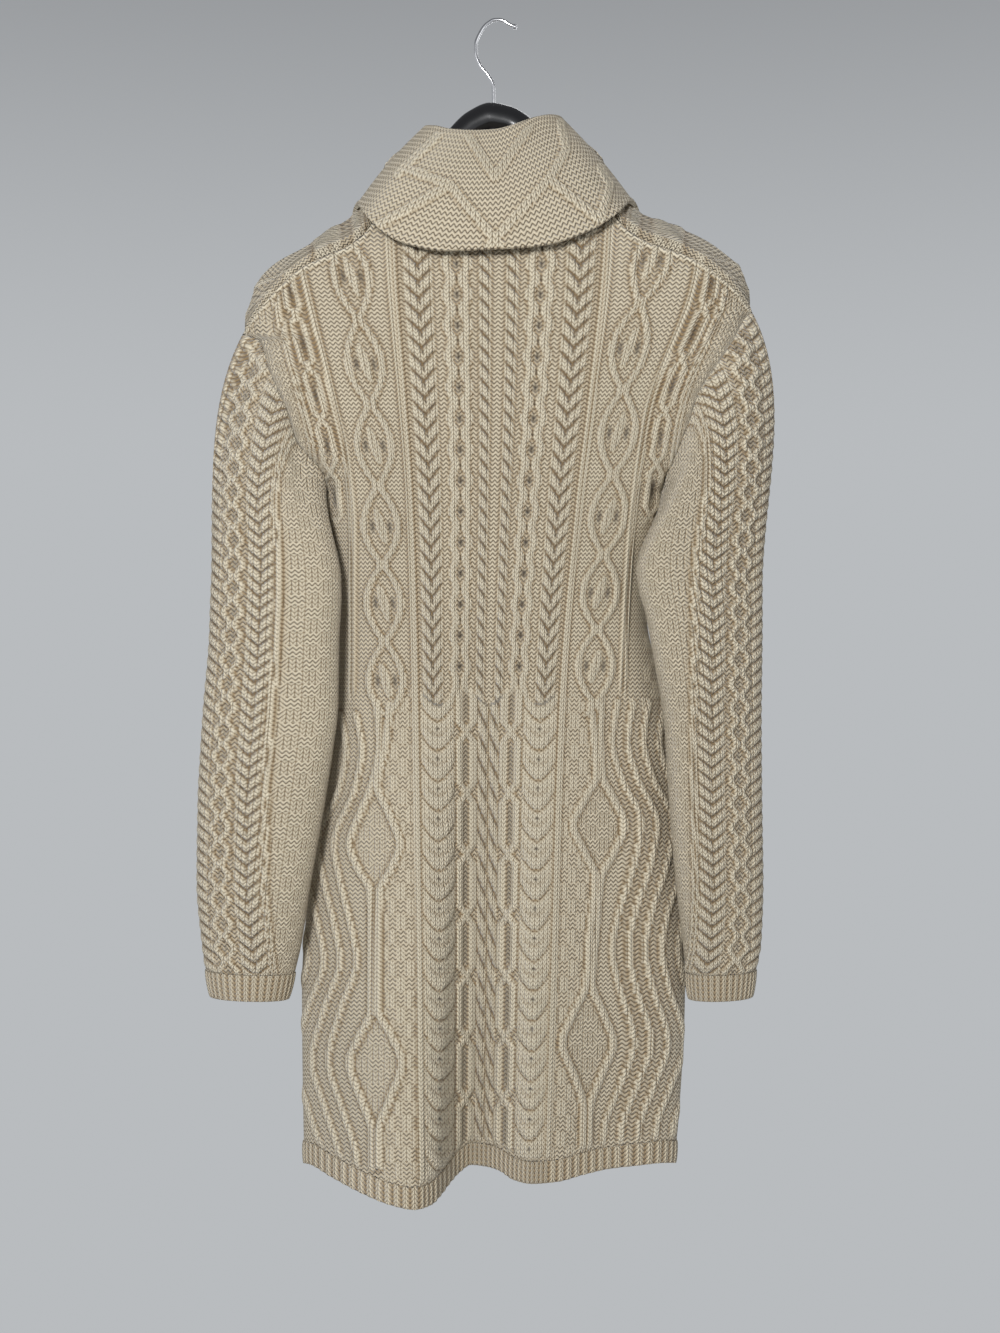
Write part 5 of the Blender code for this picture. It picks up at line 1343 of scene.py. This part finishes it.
def sew_buttons(settings):
    for k in range(BUTTON_COUNT):
        down = BUTTON_FIRST + k * BUTTON_EVERY
        rows = np.linspace(down - 11, down + 11, 9)
        seat = float(np.max(MID_FRONT(rows))) + BAND_STEP + 0.0010 + 0.0003
        x, _, z = spot(493, down, seat, 0.0)
        select_none()
        bpy.ops.mesh.primitive_cylinder_add(
            vertices=48, radius=BUTTON_RADIUS, depth=BUTTON_THICK,
            location=(x, seat + BUTTON_THICK / 2, z), rotation=(math.pi / 2, 0, 0))
        button = bpy.context.object
        button.name = f"button_{k + 1}_disc"
        settle(button)
        bpy.ops.object.mode_set(mode="EDIT")
        bpy.ops.mesh.select_all(action="SELECT")
        bpy.ops.mesh.bevel(offset=0.0009, segments=3, affect="EDGES")
        bpy.ops.object.mode_set(mode="OBJECT")
        for turn in range(BUTTON_HOLES):
            a = math.pi / 4 + turn * math.pi / 2
            select_none()
            bpy.ops.mesh.primitive_cylinder_add(
                vertices=16, radius=HOLE_RADIUS, depth=0.012, rotation=(math.pi / 2, 0, 0),
                location=(x + HOLE_FROM_MIDDLE * math.cos(a), seat + BUTTON_THICK / 2,
                          z + HOLE_FROM_MIDDLE * math.sin(a)))
            punch = bpy.context.object
            cut = button.modifiers.new("hole", "BOOLEAN")
            cut.operation, cut.object, cut.solver = "DIFFERENCE", punch, "EXACT"
            bpy.context.view_layer.objects.active = button
            bpy.ops.object.modifier_apply(modifier=cut.name)
            bpy.data.objects.remove(punch, do_unlink=True)
        select_none()
        button.select_set(True)
        bpy.context.view_layer.objects.active = button
        bpy.ops.object.shade_smooth_by_angle(angle=math.radians(35))
        button.data.materials.clear()
        button.data.materials.append(looks(settings)["button"])
        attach(button, BODY)
        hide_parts(f"button_{k + 1}")


# The add-on


class CardiganSettings(bpy.types.PropertyGroup):
    cable_height: bpy.props.FloatProperty(
        name="Cable height", description="How far the cables stand out of the wall", default=0.0030,
        min=0.0, max=0.005, subtype="DISTANCE", unit="LENGTH")
    stitch_depth: bpy.props.FloatProperty(
        name="Stitch depth", description="Depth of the single stitches in the finish", default=0.0020,
        min=0.0, max=0.004, subtype="DISTANCE", unit="LENGTH")
    wool_colour: bpy.props.FloatVectorProperty(
        name="Wool", description="Colour of the knitted panels",
        default=(0.70, 0.624, 0.474), size=3, subtype="COLOR")
    rib_colour: bpy.props.FloatVectorProperty(
        name="Ribs", description="Colour of the ribbed edges",
        default=(0.70, 0.613, 0.455), size=3, subtype="COLOR")
    wall_colour: bpy.props.FloatVectorProperty(
        name="Studio", description="Colour of the studio's floor",
        default=(0.93, 0.94, 0.945), size=3, subtype="COLOR")
    key_power: bpy.props.FloatProperty(
        name="Key light", description="Strength of the main light", default=42.0, min=0.0, unit="POWER")
    fill_power: bpy.props.FloatProperty(
        name="Fill light", description="Strength of the side lights", default=7.0, min=0.0, unit="POWER")


class CARDIGAN_OT_back(bpy.types.Operator):
    """Knits the cabled back over its solid"""
    bl_idname = "cardigan.back"
    bl_label = "Knit the back"

    def execute(self, context):
        knit_back(context.scene.cardigan)
        return {"FINISHED"}


class CARDIGAN_OT_fronts(bpy.types.Operator):
    """Knits both fronts over their solids"""
    bl_idname = "cardigan.fronts"
    bl_label = "Knit the fronts"

    def execute(self, context):
        for side in (-1, 1):
            knit_front(side, context.scene.cardigan)
        return {"FINISHED"}


class CARDIGAN_OT_sleeves(bpy.types.Operator):
    """Knits both sleeves and their cuffs"""
    bl_idname = "cardigan.sleeves"
    bl_label = "Knit the sleeves"

    def execute(self, context):
        for side in (-1, 1):
            knit_sleeve(side, context.scene.cardigan)
        return {"FINISHED"}


class CARDIGAN_OT_collar(bpy.types.Operator):
    """Knits the turned-down collar with its lattice"""
    bl_idname = "cardigan.collar"
    bl_label = "Knit the collar"

    def execute(self, context):
        knit_collar(context.scene.cardigan)
        return {"FINISHED"}


class CARDIGAN_OT_edges(bpy.types.Operator):
    """Knits the hems and the front bands"""
    bl_idname = "cardigan.edges"
    bl_label = "Knit the ribbed edges"

    def execute(self, context):
        knit_edges(context.scene.cardigan)
        return {"FINISHED"}


class CARDIGAN_OT_buttons(bpy.types.Operator):
    """Makes the seven buttons"""
    bl_idname = "cardigan.buttons"
    bl_label = "Sew the buttons"

    def execute(self, context):
        sew_buttons(context.scene.cardigan)
        return {"FINISHED"}


class CARDIGAN_OT_hanger(bpy.types.Operator):
    """Makes the black hanger and its wire hook"""
    bl_idname = "cardigan.hanger"
    bl_label = "Make the hanger"

    def execute(self, context):
        make_hanger(context.scene.cardigan)
        return {"FINISHED"}


class CARDIGAN_OT_studio(bpy.types.Operator):
    """Sets up the plain floor, the lights and the camera"""
    bl_idname = "cardigan.studio"
    bl_label = "Set up the studio"

    def execute(self, context):
        studio(context.scene.cardigan)
        return {"FINISHED"}


STEPS = (CARDIGAN_OT_back, CARDIGAN_OT_fronts, CARDIGAN_OT_sleeves, CARDIGAN_OT_collar, CARDIGAN_OT_edges,
         CARDIGAN_OT_buttons, CARDIGAN_OT_hanger, CARDIGAN_OT_studio)


class CARDIGAN_PT_panel(bpy.types.Panel):
    """Settings and steps of the cardigan"""
    bl_idname = "CARDIGAN_PT_panel"
    bl_label = "Aran Cardigan"
    bl_space_type = "VIEW_3D"
    bl_region_type = "UI"
    bl_category = "Cardigan"

    def draw(self, context):
        settings = context.scene.cardigan
        for key in ("cable_height", "stitch_depth", "wool_colour", "rib_colour", "wall_colour",
                    "key_power", "fill_power"):
            self.layout.prop(settings, key)
        for step in STEPS:
            self.layout.operator(step.bl_idname)


CLASSES = (CardiganSettings, *STEPS, CARDIGAN_PT_panel)


def register():
    for kind in CLASSES:
        bpy.utils.register_class(kind)
    bpy.types.Scene.cardigan = bpy.props.PointerProperty(type=CardiganSettings)


def unregister():
    del bpy.types.Scene.cardigan
    for kind in reversed(CLASSES):
        bpy.utils.unregister_class(kind)


def main():
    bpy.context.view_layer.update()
    register()
    for step in STEPS:
        group, action = step.bl_idname.split(".")
        if getattr(getattr(bpy.ops, group), action)() != {"FINISHED"}:
            raise RuntimeError(f"{step.bl_label} did not finish")


if __name__ == "__main__":
    main()
